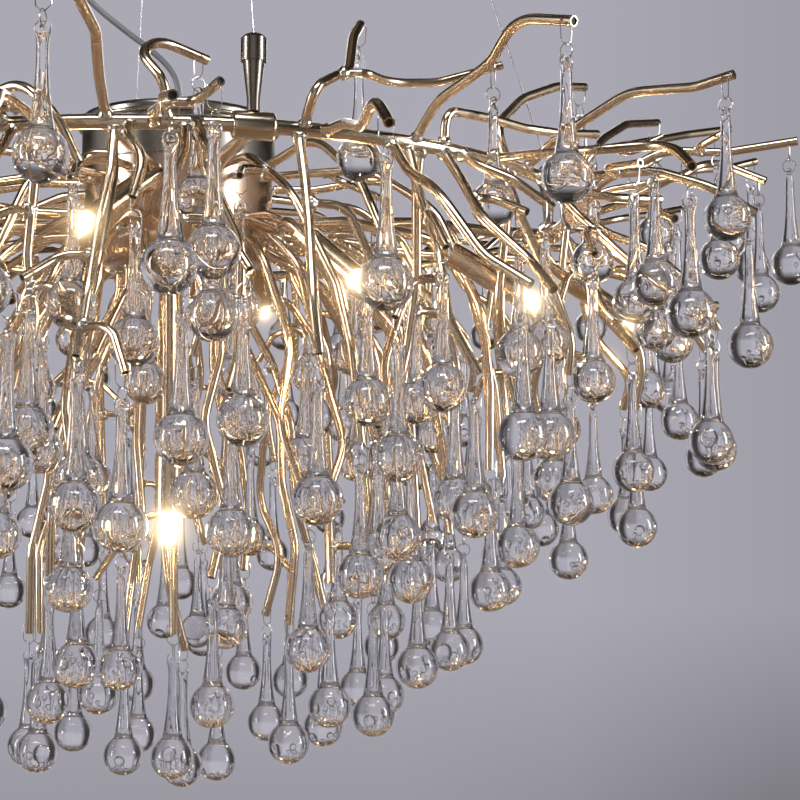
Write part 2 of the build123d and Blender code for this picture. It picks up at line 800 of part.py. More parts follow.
@dataclass
class Limb:
    """A branch and the twigs brazed to it."""

    family: str
    carrier: str
    route: list
    twigs: list = field(default_factory=list)
    swings: bool = False

    @property
    def tips(self):
        """The open ends of the branch and its twigs."""
        return [tip_of(self.route, branch_tube, self.swings), *[tip_of(twig, twig_tube) for twig in self.twigs]]

    def tubes(self):
        """The tubes alone, as capsules, the first run cut short after a tube's width."""
        own = tube_capsules(self.route, branch_tube / 2)
        start, end, radius = own[0]
        cut = start + (end - start).normalized() * min(branch_tube, 0.8 * (end - start).length)
        own = [(start, cut, radius), (cut, end, radius), *own[1:]]
        for twig in self.twigs:
            own += tube_capsules(twig, branch_tube / 2)
        return own

    def drops(self):
        """The hooks and drops alone, as capsules."""
        return [run for tip in self.tips for run in drop_capsules(tip.hole, tip.swings)]

    def clears_itself(self):
        """Whether each drop clears the limb's own tubes and the limb's other drops."""
        tips = self.tips
        for i, tip in enumerate(tips):
            hanging = drop_capsules(tip.hole, tip.swings)
            routes = [self.route, *self.twigs]
            for j, route in enumerate(routes):
                near = hanging[2 if tip.swings else 1:] if i == j else hanging  # a hook straddles its own tube
                if least_gap(near, tube_capsules(route, branch_tube / 2)) < drop_gap:
                    return False
                if i < j and least_gap(hanging, drop_capsules(tips[j].hole)) < drop_gap:
                    return False
        return True

    def is_good(self):
        """Whether the limb bends gently enough and has room."""
        for route in (self.route, *self.twigs):
            if min(bend_radii(route), default=largest_bend) < smallest_bend:
                return False
        if not self.clears_itself():
            return False
        for i, twig in enumerate(self.twigs):
            away = tube_capsules(twig, branch_tube / 2)
            if least_gap(away[1:], tube_capsules(self.route, branch_tube / 2)) < branch_gap:
                return False
            if any(least_gap(away, tube_capsules(other, branch_tube / 2)) < branch_gap for other in self.twigs[:i]):
                return False
        drops = self.drops()
        if least_gap(drops, taken + ring_capsules + hub_capsules) < drop_gap:
            return False
        return fits(self.tubes(), self.carrier)


@dataclass
class Family:
    """A set of branches that leave one carrier on like curves.

    Their stops are (distance outside the ring or the housing, height from the ring); those of the stems
    under the housing are measured from the axis.
    """

    name: str
    carrier: str
    count: int
    stops: list
    sway: float
    twig_share: float = 0.0
    swinging: tuple = ()

    @property
    def base_radius(self):
        """The radius from which the stops are measured."""
        return {"ring": ring_radius, "hub": housing_radius, "housing": 0}[self.carrier]


rng = random.Random(seed)
limbs = []


def place_limb(limb):
    """Add a limb if it has room."""
    if not limb.is_good():
        return False
    limbs.append(limb)
    taken.extend(limb.tubes() + limb.drops())
    return True


def by_hand(family, own_stops, twigs=(), swings=False):
    """A limb on the ring through chosen stops (angle, distance outside the ring, height from the ring).

    Each twig is (run, side, stops): it leaves that run of the branch squarely, on side 1 or -1.
    """
    stops = [beyond_ring(*stop) for stop in own_stops]
    stops.insert(0, from_ring(own_stops[0][0], stops[0]))
    twig_routes = []
    for run, side, twig_stops in twigs:
        foot, ahead, _ = straight_part(stops, run)
        square = ahead.cross(Vector(0, 0, 1)).normalized() * side
        twig_routes.append([foot, foot + square * twig_stub, *[beyond_ring(*stop) for stop in twig_stops]])
    if not place_limb(Limb(family, "ring", stops, twig_routes, swings)):
        print("no room for", family, own_stops[-1])


# the long branches round the top, each through stops (angle, distance outside the ring, height from the ring)
by_hand("crown", [(7, 24, 15), (5, 90, 41), (0, 160, 77), (2, 210, 85), (3, 252, 98)], swings=True)
by_hand("crown", [(-31, 22, 39), (-20, 60, 63), (-11, 120, 89), (-7, 176, 105)], swings=True)
by_hand("crown", [(-84, 28, 27), (-80, 0, 45), (-76, -28, 59), (-72, -62, 99), (-67, -90, 121)],
        twigs=[(2, 1, [(-71, -16, 51), (-65, -4, 55), (-58, 24, 73)])])
by_hand("crown", [(-100, 22, 25), (-103, 10, 51), (-101, -12, 67), (-95, -36, 59)])
by_hand("brim", [(-119, 24, 17), (-115, 34, 23), (-111, 40, -3), (-109, 28, -37)])
by_hand("brim", [(-104, 22, -15), (-102, 36, -37), (-103, 44, -67)])
by_hand("brim", [(-96.5, 32, -11), (-96, 52, -27), (-95, 66, -49)])
by_hand("crown", [(-64.5, 4, 31), (-57, 3, 34), (-50, 9, 33), (-44, 24, 35), (-38, 40, 42)])
by_hand("crown", [(-52, -12, 36), (-46, -8, 67), (-39, 6, 87), (-33, 20, 95)])
by_hand("crown", [(-26, 16, 40), (-21, 30, 67), (-14, 56, 93), (-7, 100, 109)])
by_hand("brim", [(-45, 28, -15), (-43, 60, -23), (-37, 94, -19)])
by_hand("brim", [(-62, 24, -15), (-60, 50, -29), (-57, 70, -51)])
by_hand("brim", [(-16, 24, 3), (-21, 50, 5), (-27, 76, -11), (-31, 98, -27)])
by_hand("brim", [(12, 40, 15), (9, 110, 35), (11, 180, 51), (13, 224, 63)])

crown_stops = [(32, 25), (90, 43), (150, 57), (198, 51)]
brim_stops = [(40, -3), (100, -15), (155, -17), (200, -43)]
shoulder_stops = [(28, -31), (70, -61), (112, -105), (140, -137)]
skirt_stops = [(16, -45), (36, -95), (60, -145), (66, -183)]
waist_stops = [(-4, -35), (-8, -105), (-12, -165), (-2, -215)]
fountain_stops = [(40, 28), (115, 25), (175, -15), (220, -105), (228, -175), (238, -245)]
inner_stops = [(32, -15), (100, -55), (148, -135), (172, -215), (178, -305)]
core_stops = [(22, -21), (60, -65), (96, -145), (106, -225), (116, -285), (112, -345)]
families = [
    Family("crown", "ring", 16, crown_stops, 20, 0.35, swinging=(40, 95, 150, 205)),
    Family("brim", "ring", 20, brim_stops, 22, 0.4, swinging=(65, 122, 178, 235)),
    Family("shoulder", "ring", 20, shoulder_stops, 22, 0.7),
    Family("skirt", "ring", 18, skirt_stops, 22, 0.7),
    Family("waist", "ring", 14, waist_stops, 20, 0.7),
    Family("fountain", "hub", 16, fountain_stops, 24, 0.7),
    Family("inner", "hub", 14, inner_stops, 22, 0.7),
    Family("core", "hub", 10, core_stops, 20, 0.7),
    Family("stem", "housing", 8, [(92, -145), (112, -205), (122, -265), (132, -325), (138, -392)], 18, 0.5),
    Family("stem", "housing", 4, [(36, -145), (44, -215), (40, -285), (46, -350), (40, -412)], 15, 0.5),
]


def grow(family, angle, loose, swings=False):
    """One random branch of a family near an angle; loose scales how far it may stray."""
    sway = family.sway * loose
    drift = rng.uniform(-1, 1) * sway * 1.5
    stops, last = [], len(family.stops) - 1
    for i, (out, height) in enumerate(family.stops):
        radius = family.base_radius + out
        aside = 0 if i == 0 else drift * i / last + rng.uniform(-1, 1) * sway
        settle = 0.2 if i == 0 else 1.0
        stops.append(
            polar(
                angle + degrees(aside / radius),
                radius + settle * rng.uniform(-1, 1) * sway * 0.7,
                ring_z + height + settle * rng.uniform(-1, 1) * sway * 0.8,
            )
        )
    if family.carrier == "ring":
        stops.insert(0, from_ring(angle, stops[0]))
    elif family.carrier == "hub":
        stops[0].Z = min(stops[0].Z, housing_top_z - branch_tube)
        stops.insert(0, polar(angle, housing_surface, stops[0].Z))
    else:
        foot = polar(angle, min(family.stops[0][0], stem_circle), housing_bottom_z - gap)
        stops = [foot, foot - Vector(0, 0, stem_straight), *stops]
    limb = Limb(family.name, family.carrier, stops, swings=swings)
    if not swings:
        for run in rng.sample(range(1, len(stops) - 1), most_twigs):
            if rng.random() < family.twig_share:
                limb.twigs += grow_twig(stops, run)
    return limb


def grow_twig(stops, run):
    """The route of a twig that leaves a branch sideways in the middle of a run, in a list, or an empty list."""
    foot, ahead, room = straight_part(stops, run)
    side = ahead.cross(Vector(0, 0, 1)).normalized() * rng.choice((-1, 1))
    reach = rng.uniform(36, 62)
    elbow = foot + side * max(twig_stub, reach * 0.5)
    end = elbow + (side * 0.5 + ahead * 0.9 + Vector(0, 0, rng.uniform(-0.6, 0.5))).normalized() * reach * 0.8
    return [[foot, elbow, end]] if room > twig_room else []


def grow_until_placed(family, middle, spread, swings=False):
    """Try branches near an angle, looser each time, until one has room."""
    for attempt in range(60):
        angle = middle + rng.uniform(-spread, spread)
        if place_limb(grow(family, angle, 0.8 + 0.012 * attempt, swings)):
            return


for family in families:
    for angle in family.swinging:
        grow_until_placed(family, angle, 12, swings=True)
for family in families:
    placed_before = len(limbs)
    slot = 360 / family.count
    for i in range(family.count):
        grow_until_placed(family, (i + 0.5) * slot, slot / 2)
    print(family.name, len(limbs) - placed_before, "of", family.count)


# ---------------------------------------------------------------- branches
def limb_part(limb):
    """A limb's tubes, brazed where twigs leave it, with open ends that are drilled across for the hooks."""
    with BuildPart() as tube:
        sweep_tube(limb.route, branch_tube / 2)
        for twig in limb.twigs:
            sweep_tube(twig, twig_tube / 2)
        for tip in limb.tips:
            with BuildSketch(Plane(origin=tip.end, z_dir=-tip.direction)):
                Circle(tip.tube / 2 - tube_wall)
            extrude(amount=tube_bore_depth, mode=Mode.SUBTRACT)
            with BuildSketch(Plane(origin=tip.hole, z_dir=tip.across)):
                Circle(hook_hole_radius)
            extrude(amount=tip.tube, both=True, mode=Mode.SUBTRACT)
    return tube.part


def is_sound(solids, limb):
    """Whether a limb came out as one solid that is no smaller than its main tube."""
    run_length = sum((end - start).length for start, end in zip(limb.route, limb.route[1:]))
    return len(solids) == 1 and solids[0].volume > 0.9 * run_length * pi * branch_tube**2 / 4


branches = {}
for limb in limbs:
    solids = limb_part(limb).solids()
    if limb.twigs and not is_sound(solids, limb):
        limb.twigs.clear()
        solids = limb_part(limb).solids()
    branches.setdefault(limb.family, []).append(solids[0])

tips = [tip for limb in limbs for tip in limb.tips]
print("limbs", len(limbs), "drops", len(tips), "of which swing", sum(tip.swings for tip in tips))

# ---------------------------------------------------------------- one hook, link and glass drop
# X runs along the cross hole, Z up, and the origin is the middle of the cross hole.
with BuildPart() as one_hook:
    with BuildSketch(Plane.XZ):
        with BuildLine():
            Polyline(
                (hook_half_width, 0),
                (hook_half_width, -hook_leg),
                (0, -hook_point),
                (-hook_half_width, -hook_leg),
                (-hook_half_width, 0),
                close=True,
            )
            offset(amount=hook_wire / 2, kind=Kind.INTERSECTION)
        make_face()
        offset(amount=-hook_wire, kind=Kind.INTERSECTION, mode=Mode.SUBTRACT)
        Rectangle(2 * hook_end, 2 * hook_wire, mode=Mode.SUBTRACT)
    extrude(amount=hook_wire / 2, both=True)

with BuildPart() as one_link:
    with BuildSketch(Plane.YZ.offset(-hook_wire / 2)):
        with Locations((0, link_centre)):
            Circle(link_radius + hook_wire / 2)
            Circle(link_radius - hook_wire / 2, mode=Mode.SUBTRACT)
    extrude(amount=hook_wire)

with BuildPart() as one_drop:
    head_top, neck_z = eye_centre + head_crown, eye_centre - neck_start
    foot_z = ball_centre + sqrt(ball_radius**2 - neck_foot_radius**2)
    with BuildSketch(Plane.XZ):
        with BuildLine():
            Line((0, head_top), (head_flat_radius, head_top))
            ThreePointArc((head_flat_radius, head_top), (head_radius, eye_centre), (neck_top_radius, neck_z))
            ThreePointArc(
                (neck_top_radius, neck_z), (neck_middle_radius, (neck_z + foot_z) / 2), (neck_foot_radius, foot_z)
            )
            ThreePointArc((neck_foot_radius, foot_z), (ball_radius, ball_centre), (0, ball_centre - ball_radius))
            Line((0, ball_centre - ball_radius), (0, head_top))
        make_face()
    revolve(axis=Axis.Z)
    pinch_z, pinch_foot_z = eye_centre - pinch_length, eye_centre - pinch_length - pinch_taper
    with BuildSketch(Plane.YZ):
        with BuildLine():
            Polyline(
                (eye_thickness / 2, head_top + 1),
                (eye_thickness / 2, pinch_z),
                (eye_thickness / 2 + pinch_flare, pinch_foot_z),
                (2 * head_radius, pinch_foot_z),
                (2 * head_radius, head_top + 1),
                close=True,
            )
        make_face()
        mirror(about=Plane.YZ)
    extrude(amount=2 * head_radius, both=True, mode=Mode.SUBTRACT)
    with BuildSketch(Plane.XZ):
        with Locations((0, eye_centre)):
            Circle(eye_hole_radius)
    extrude(amount=head_radius, both=True, mode=Mode.SUBTRACT)

still_places = [tip.place for tip in tips if not tip.swings]
swing_places = [tip.place for tip in tips if tip.swings]


def at_each_tip(master):
    """A copy of a piece at every tip whose drop doesn't swing freely."""
    return Compound([master.part.solid().moved(place) for place in still_places])


# ---------------------------------------------------------------- write every piece
pieces = {
    "ceiling_cross_plate": ceiling_cross_plate.part,
    "canopy": canopy.part,
    "canopy_posts": canopy_posts.part,
    "canopy_terminal_block": canopy_terminal_block.part,
    "wire_nipples": wire_nipples.part,
    "canopy_cord_gland": canopy_cord_gland,
    "power_cord": power_cord.part,
    "hub_cord_gland": hub_cord_gland,
    "hub_lid": hub_lid.part,
    "hub_lid_screws": hub_lid_screws.part,
    "hub_drum": hub_drum.part,
    "hub_posts": hub_posts.part,
    "hub_partition": hub_partition.part,
    "hub_terminal_block": hub_terminal_block.part,
    "hub_housing": hub_housing.part,
    "wire_cups": wire_cups.part,
    "carrier_ring": carrier_ring.part,
    "ring_knuckles": ring_knuckles.part,
    "ring_spokes": ring_spokes.part,
    "lamp_arms": lamp_arms,
    "lamp_sleeves": lamp_sleeves,
    "lamp_holders": lamp_holders,
    "bulb_bases": bulb_bases,
    "bulb_glasses": bulb_glasses,
    "drop_hooks": at_each_tip(one_hook),
    "drop_links": at_each_tip(one_link),
    "glass_drops": at_each_tip(one_drop),
}
for number, wire in enumerate(suspension_wires, 1):
    pieces[f"suspension_wire_{number}"] = wire
for family_name, solids in branches.items():
    pieces[f"{family_name}_branches"] = Compound(solids)
for number, place in enumerate(swing_places, 1):
    hook_and_link = [one_hook.part.solid().moved(place), one_link.part.solid().moved(place)]
    pieces[f"swinging_hook_{number}"] = Compound(hook_and_link)
    pieces[f"swinging_drop_{number}"] = one_drop.part.solid().moved(place)

for name, piece in pieces.items():
    piece.label = name
    export_step(piece, f"parts/{name}.step", write_pcurves=False)
print("nodes", len(pieces))
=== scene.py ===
"""Looks of a branching crystal chandelier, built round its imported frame.

Metres, +Z up, the same frame as the CAD. Every piece stands where the frame's own solids stand: the
places of hooks, drops, lamps and brazed joints are read from them when the script runs.
"""

import sys
import json
import logging
import math
from collections.abc import Sequence
from dataclasses import dataclass, field
from enum import Enum
from functools import cache

import bmesh
import bpy
import numpy as np
from mathutils import Euler, Matrix, Vector

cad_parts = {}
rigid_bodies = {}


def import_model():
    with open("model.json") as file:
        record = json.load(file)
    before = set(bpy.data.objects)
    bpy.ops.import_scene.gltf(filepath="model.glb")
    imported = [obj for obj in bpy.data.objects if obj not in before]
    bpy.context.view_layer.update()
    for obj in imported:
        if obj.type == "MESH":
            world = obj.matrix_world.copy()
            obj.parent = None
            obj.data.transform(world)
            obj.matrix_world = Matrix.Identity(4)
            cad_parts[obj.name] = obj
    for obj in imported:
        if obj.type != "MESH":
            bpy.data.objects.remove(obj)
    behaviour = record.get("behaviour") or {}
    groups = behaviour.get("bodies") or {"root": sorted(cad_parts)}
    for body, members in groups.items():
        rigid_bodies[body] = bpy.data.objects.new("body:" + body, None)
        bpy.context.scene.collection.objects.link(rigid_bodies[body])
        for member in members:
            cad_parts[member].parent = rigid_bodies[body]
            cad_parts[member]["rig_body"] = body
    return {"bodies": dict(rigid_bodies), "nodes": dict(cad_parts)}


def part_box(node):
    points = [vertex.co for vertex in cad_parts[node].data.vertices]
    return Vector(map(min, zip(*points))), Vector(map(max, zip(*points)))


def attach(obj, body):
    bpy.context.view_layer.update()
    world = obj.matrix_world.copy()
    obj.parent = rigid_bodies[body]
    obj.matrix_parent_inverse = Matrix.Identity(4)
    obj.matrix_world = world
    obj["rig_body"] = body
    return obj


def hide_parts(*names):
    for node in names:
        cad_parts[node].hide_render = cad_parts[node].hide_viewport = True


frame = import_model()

log = logging.getLogger("chandelier")

RGB = tuple[float, float, float]
Input = float | int | tuple | str | bpy.types.ID | bpy.types.NodeSocket

WELD = 1e-6  # corners closer than this are one corner
RING_HEIGHT = -0.545
RING_RADIUS = 0.380
HOUSING_RADIUS = 0.090
HOUSING_BOTTOM = RING_HEIGHT - 0.055


# ---------------------------------------------------------------- node trees
class Graph:
    """Adds nodes to one node tree and wires them up."""

    def __init__(self, tree: bpy.types.NodeTree) -> None:
        """Take hold of a tree.

        Args:
            tree: The node tree that is being built.
        """
        self.tree = tree

    def add(
        self, kind: str, inputs: dict[str | int, Input] | None = None, **settings: object
    ) -> bpy.types.Node:
        """Add a node.

        Args:
            kind: Blender's type name of the node.
            inputs: What each input gets, by name or number: a value, or the socket that feeds it.
            **settings: The node's own properties.

        Returns:
            The new node.
        """
        node = self.tree.nodes.new(kind)
        for name, value in settings.items():
            setattr(node, name, value)
        for key, value in (inputs or {}).items():
            socket = node.inputs[key]
            if isinstance(value, bpy.types.NodeSocket):
                self.tree.links.new(value, socket)
            else:
                socket.default_value = value
        return node

    def math(self, operation: str, *values: Input, clamp: bool = False) -> bpy.types.NodeSocket:
        """The result of a Math node on one to three values."""
        node = self.add("ShaderNodeMath", dict(enumerate(values)), operation=operation, use_clamp=clamp)
        return node.outputs[0]

    def vector(self, operation: str, *values: Input) -> bpy.types.Node:
        """A Vector Math node on one or two vectors."""
        return self.add("ShaderNodeVectorMath", dict(enumerate(values)), operation=operation)

    def blend(self, share: Input, low: Input, high: Input) -> bpy.types.NodeSocket:
        """A colour between two, by a share from 0 to 1."""
        node = self.add("ShaderNodeMix", data_type="RGBA")
        for number, value in ((0, share), (6, low), (7, high)):
            if isinstance(value, bpy.types.NodeSocket):
                self.tree.links.new(value, node.inputs[number])
            else:
                node.inputs[number].default_value = (*value, 1.0) if isinstance(value, tuple) else value
        return node.outputs[2]

    def spread(
        self, value: Input, low: float, high: float, start: float = 0.0, end: float = 1.0
    ) -> bpy.types.NodeSocket:
        """A value mapped from start..end to low..high."""
        inputs = {"Value": value, "From Min": start, "From Max": end, "To Min": low, "To Max": high}
        return self.add("ShaderNodeMapRange", inputs).outputs["Result"]

    def fade(
        self, value: Input, band: tuple[float, float], out: bool = False
    ) -> bpy.types.NodeSocket:
        """A share that grows from 0 to 1 across a band, or falls from 1 to 0."""
        return self.spread(value, float(out), float(not out), *band)

    def noise(
        self, vector: Input, scale: Input, detail: float = 2.0, roughness: float = 0.5
    ) -> bpy.types.NodeSocket:
        """A noise value about 0.5."""
        inputs = {"Vector": vector, "Scale": scale, "Detail": detail, "Roughness": roughness}
        return self.add("ShaderNodeTexNoise", inputs).outputs[0]


def make_group(
    name: str,
    kind: str,
    inputs: dict[str, tuple[str, float | None]],
    outputs: dict[str, str],
) -> tuple[bpy.types.NodeTree, Graph, bpy.types.Node, bpy.types.Node]:
    """Start a node group with named inputs and outputs.

    Args:
        name: The group's name.
        kind: ShaderNodeTree or GeometryNodeTree.
        inputs: Each input's socket type and default value.
        outputs: Each output's socket type.

    Returns:
        The group, its graph, and its input and output nodes.
    """
    tree = bpy.data.node_groups.new(name, kind)
    for socket_name, (socket_type, default) in inputs.items():
        socket = tree.interface.new_socket(socket_name, in_out="INPUT", socket_type=socket_type)
        if default is not None:
            socket.default_value = default
    for socket_name, socket_type in outputs.items():
        tree.interface.new_socket(socket_name, in_out="OUTPUT", socket_type=socket_type)
    graph = Graph(tree)
    return tree, graph, graph.add("NodeGroupInput"), graph.add("NodeGroupOutput")


def hand_polish_group() -> bpy.types.NodeTree:
    """The unevenness that bending and buffing leave: broad mottling and fine waves.

    Returns:
        A shader group with the inputs Vector and Scale and the outputs Mottle and Wave.
    """
    tree, graph, given, result = make_group(
        "Hand_Polish",
        "ShaderNodeTree",
        {"Vector": ("NodeSocketVector", None), "Scale": ("NodeSocketFloat", 60.0)},
        {"Mottle": "NodeSocketFloat", "Wave": "NodeSocketFloat"},
    )
    broad = graph.noise(given.outputs["Vector"], given.outputs["Scale"], 3.0, 0.6)
    fine_scale = graph.math("MULTIPLY", given.outputs["Scale"], 5.0)
    fine = graph.noise(given.outputs["Vector"], fine_scale, 2.0, 0.5)
    tree.links.new(graph.spread(broad, 0.0, 1.0, 0.3, 0.7), result.inputs["Mottle"])
    wave = graph.math("ADD", graph.math("MULTIPLY", broad, 0.8), graph.math("MULTIPLY", fine, 0.2))
    tree.links.new(wave, result.inputs["Wave"])
    return tree


def turned_grain_group() -> bpy.types.NodeTree:
    """Fine rings about the Z axis, as a lathe or a brush leaves them on a drum.

    Returns:
        A shader group with the inputs Vector and Scale and the outputs Grain and Mottle.
    """
    tree, graph, given, result = make_group(
        "Turned_Grain",
        "ShaderNodeTree",
        {"Vector": ("NodeSocketVector", None), "Scale": ("NodeSocketFloat", 1500.0)},
        {"Grain": "NodeSocketFloat", "Mottle": "NodeSocketFloat"},
    )
    parts = graph.add("ShaderNodeSeparateXYZ", {0: given.outputs["Vector"]})
    flat = graph.add("ShaderNodeCombineXYZ", {0: parts.outputs[0], 1: parts.outputs[1]})
    radius = graph.vector("LENGTH", flat.outputs[0]).outputs["Value"]
    around = graph.math("ARCTAN2", parts.outputs[1], parts.outputs[0])
    slow = graph.math("MULTIPLY", around, 0.004)
    rings = graph.add("ShaderNodeCombineXYZ", {0: radius, 1: slow, 2: parts.outputs[2]})
    grain = graph.noise(rings.outputs[0], given.outputs["Scale"], 2.0, 0.6)
    broad = graph.noise(given.outputs["Vector"], 24.0, 2.0, 0.5)
    tree.links.new(grain, result.inputs["Grain"])
    tree.links.new(graph.spread(broad, 0.0, 1.0, 0.3, 0.7), result.inputs["Mottle"])
    return tree


class Surface(Enum):
    """How a metal's surface was left."""

    POLISHED = "Hand_Polish"
    TURNED = "Turned_Grain"


# ---------------------------------------------------------------- finishes
def new_material(name: str) -> tuple[bpy.types.Material, Graph, bpy.types.Node, bpy.types.NodeSocket]:
    """A new material with a Principled shader.

    Args:
        name: The material's name.

    Returns:
        The material, its graph, its Principled node and its Object coordinates.
    """
    material = bpy.data.materials.new(name)
    material.use_nodes = True
    graph = Graph(material.node_tree)
    shader = material.node_tree.nodes["Principled BSDF"]
    return material, graph, shader, graph.add("ShaderNodeTexCoord").outputs["Object"]


def dress(
    graph: Graph,
    shader: bpy.types.Node,
    mottle: Input,
    height: Input,
    relief: float,
    colours: tuple[RGB, RGB],
    gloss: tuple[float, float],
) -> None:
    """Give a shader its mottled colour, its mottled gloss and its relief.

    Args:
        graph: The material's graph.
        shader: Its Principled node.
        mottle: The share of the second colour and of the higher roughness.
        height: The relief's pattern.
        relief: The relief's height, in metres.
        colours: The two colours.
        gloss: The lowest and highest roughness.
    """
    bump = graph.add("ShaderNodeBump", {"Height": height, "Strength": 1.0, "Distance": relief})
    graph.tree.links.new(graph.blend(mottle, *colours), shader.inputs["Base Color"])
    graph.tree.links.new(graph.spread(mottle, *gloss), shader.inputs["Roughness"])
    graph.tree.links.new(bump.outputs[0], shader.inputs["Normal"])


@dataclass(frozen=True)
class Metal:
    """A bare or plated metal.

    Attributes:
        name: The material's name.
        slot: The record's slot it belongs to; not used.
        colour: Its colour where it is cleanest.
        dull: Its colour in the duller patches.
        gloss: The lowest and highest roughness.
        surface: How the surface was left.
        scale: The pattern's scale, per metre.
        relief: The height of the pattern, in metres.
    """

    name: str
    slot: str
    colour: RGB
    dull: RGB
    gloss: tuple[float, float]
    surface: Surface = Surface.POLISHED
    scale: float = 60.0
    relief: float = 0.0002

    @cache
    def material(self) -> bpy.types.Material:
        """The finish as a material, made once."""
        material, graph, shader, place = new_material(self.name)
        group = graph.add("ShaderNodeGroup", node_tree=bpy.data.node_groups[self.surface.value])
        graph.tree.links.new(place, group.inputs["Vector"])
        group.inputs["Scale"].default_value = self.scale
        mottle = group.outputs["Mottle"]
        height = group.outputs["Wave" if self.surface is Surface.POLISHED else "Grain"]
        dress(graph, shader, mottle, height, self.relief, (self.colour, self.dull), self.gloss)
        shader.inputs["Metallic"].default_value = 1.0
        return material


@dataclass(frozen=True)
class Glass:
    """Clear glass with the faint ripple of hand work.

    Attributes:
        name: The material's name.
        slot: The record's slot it belongs to; not used.
        tint: What the glass lets through.
        bend: Its index of refraction.
        ripple: The ripple's height, in metres.
    """

    name: str
    slot: str
    tint: RGB = (1.0, 1.0, 1.0)
    bend: float = 1.5
    ripple: float = 0.00015

    @cache
    def material(self) -> bpy.types.Material:
        """The finish as a material, made once."""
        material, graph, shader, place = new_material(self.name)
        height = graph.noise(place, 75.0, 3.0, 0.55)
        bump = graph.add("ShaderNodeBump", {"Height": height, "Strength": 1.0, "Distance": self.ripple})
        graph.tree.links.new(bump.outputs[0], shader.inputs["Normal"])
        shader.inputs["Base Color"].default_value = (*self.tint, 1.0)
        shader.inputs["Roughness"].default_value = 0.0
        shader.inputs["IOR"].default_value = self.bend
        shader.inputs["Transmission Weight"].default_value = 1.0
        return material


@dataclass(frozen=True)
class LitGlass:
    """A lit bulb's glass, its glow faintly mottled.

    Attributes:
        name: The material's name.
        slot: The record's slot it belongs to; not used.
        glow: The light's colour.
        strength: The light's strength.
    """

    name: str
    slot: str
    glow: RGB
    strength: float

    @cache
    def material(self) -> bpy.types.Material:
        """The finish as a material, made once."""
        material, graph, shader, place = new_material(self.name)
        mottle = graph.noise(place, 220.0, 1.0)
        hot = tuple(min(1.0, c * 1.25) for c in self.glow)
        graph.tree.links.new(graph.blend(mottle, self.glow, hot), shader.inputs["Emission Color"])
        graph.tree.links.new(graph.spread(mottle, 0.1, 0.2), shader.inputs["Roughness"])
        shader.inputs["Emission Strength"].default_value = self.strength
        shader.inputs["Base Color"].default_value = (0.9, 0.88, 0.84, 1.0)
        return material


@dataclass(frozen=True)
class Moulded:
    """Moulded plastic, rubber or fired ceramic.

    Attributes:
        name: The material's name.
        slot: The record's slot it belongs to; not used.
        colour: Its main colour.
        speck: The colour of its faint mottling.
        gloss: The lowest and highest roughness.
        scale: The texture's scale, per metre.
        relief: The texture's height, in metres.
    """

    name: str
    slot: str
    colour: RGB
    speck: RGB
    gloss: tuple[float, float]
    scale: float = 900.0
    relief: float = 0.00005

    @cache
    def material(self) -> bpy.types.Material:
        """The finish as a material, made once."""
        material, graph, shader, place = new_material(self.name)
        mottle = graph.noise(place, self.scale, 3.0, 0.6)
        dress(graph, shader, mottle, mottle, self.relief, (self.colour, self.speck), self.gloss)
        return material


Finish = Metal | Glass | LitGlass | Moulded

CHAMPAGNE = Metal(
    "champagne_polished", "polished_tube", (0.85, 0.705, 0.53), (0.73, 0.57, 0.41), (0.19, 0.28),
    scale=22.0, relief=0.00001,
)
CHAMPAGNE_RING = Metal(
    "champagne_ring", "polished_tube", (0.84, 0.725, 0.58), (0.73, 0.605, 0.46), (0.17, 0.25),
    scale=18.0, relief=0.00001,
)
SOLDER = Metal(
    "silver_solder", "polished_tube", (0.90, 0.87, 0.82), (0.62, 0.55, 0.46), (0.12, 0.3), scale=420.0,
    relief=0.0004,
)
SLEEVE = Metal(
    "champagne_sleeve", "champagne_metal", (0.88, 0.72, 0.52), (0.77, 0.60, 0.41), (0.16, 0.28),
    scale=45.0, relief=0.00004,
)
BRUSHED = Metal(
    "brushed_turned", "brushed_steel", (0.42, 0.385, 0.35), (0.30, 0.27, 0.24), (0.22, 0.36),
    Surface.TURNED, 1500.0, 0.00003,
)
ROSE = Metal(
    "rose_polished", "rose_metal", (0.66, 0.51, 0.40), (0.55, 0.40, 0.30), (0.2, 0.32), scale=18.0,
    relief=0.00004,
)
CUP = Metal(
    "cup_brushed", "brushed_steel", (0.34, 0.31, 0.28), (0.24, 0.215, 0.19), (0.2, 0.34),
    Surface.TURNED, 1200.0, 0.00002,
)
WIRE = Metal(
    "drawn_wire", "steel_wire", (0.80, 0.79, 0.78), (0.62, 0.61, 0.60), (0.16, 0.30), scale=700.0,
    relief=0.00003,
)
NICKEL = Metal(
    "turned_nickel", "gland_nickel", (0.60, 0.57, 0.53), (0.46, 0.43, 0.40), (0.2, 0.32), scale=200.0,
    relief=0.00004,
)
ZINC = Metal(
    "plated_zinc", "zinc_steel", (0.55, 0.56, 0.58), (0.40, 0.41, 0.44), (0.28, 0.46), scale=130.0,
    relief=0.00008,
)
CRYSTAL = Glass("crystal", "clear_glass", (0.985, 0.985, 0.99))
BULB = LitGlass("bulb_lit", "bulb_glass", (1.0, 0.64, 0.34), 140.0)
CERAMIC = Moulded("fired_ceramic", "ceramic", (0.78, 0.76, 0.71), (0.70, 0.67, 0.61), (0.3, 0.5), 500.0)
# Black discs set just inside the open tube ends: painted shade for the dark within the bores.
BORE_SHADE = Moulded(
    "bore_black", "polished_tube", (0.010, 0.009, 0.010), (0.03, 0.027, 0.026), (0.45, 0.7)
)
BLOCK_WHITE = Moulded(
    "terminal_white", "terminal_plastic", (0.72, 0.72, 0.70), (0.64, 0.64, 0.62), (0.35, 0.5)
)
SHEATH = Moulded(
    "grey_sheath", "cord_sheath", (0.16, 0.165, 0.185), (0.21, 0.215, 0.235), (0.16, 0.26), 300.0, 0.00003
)


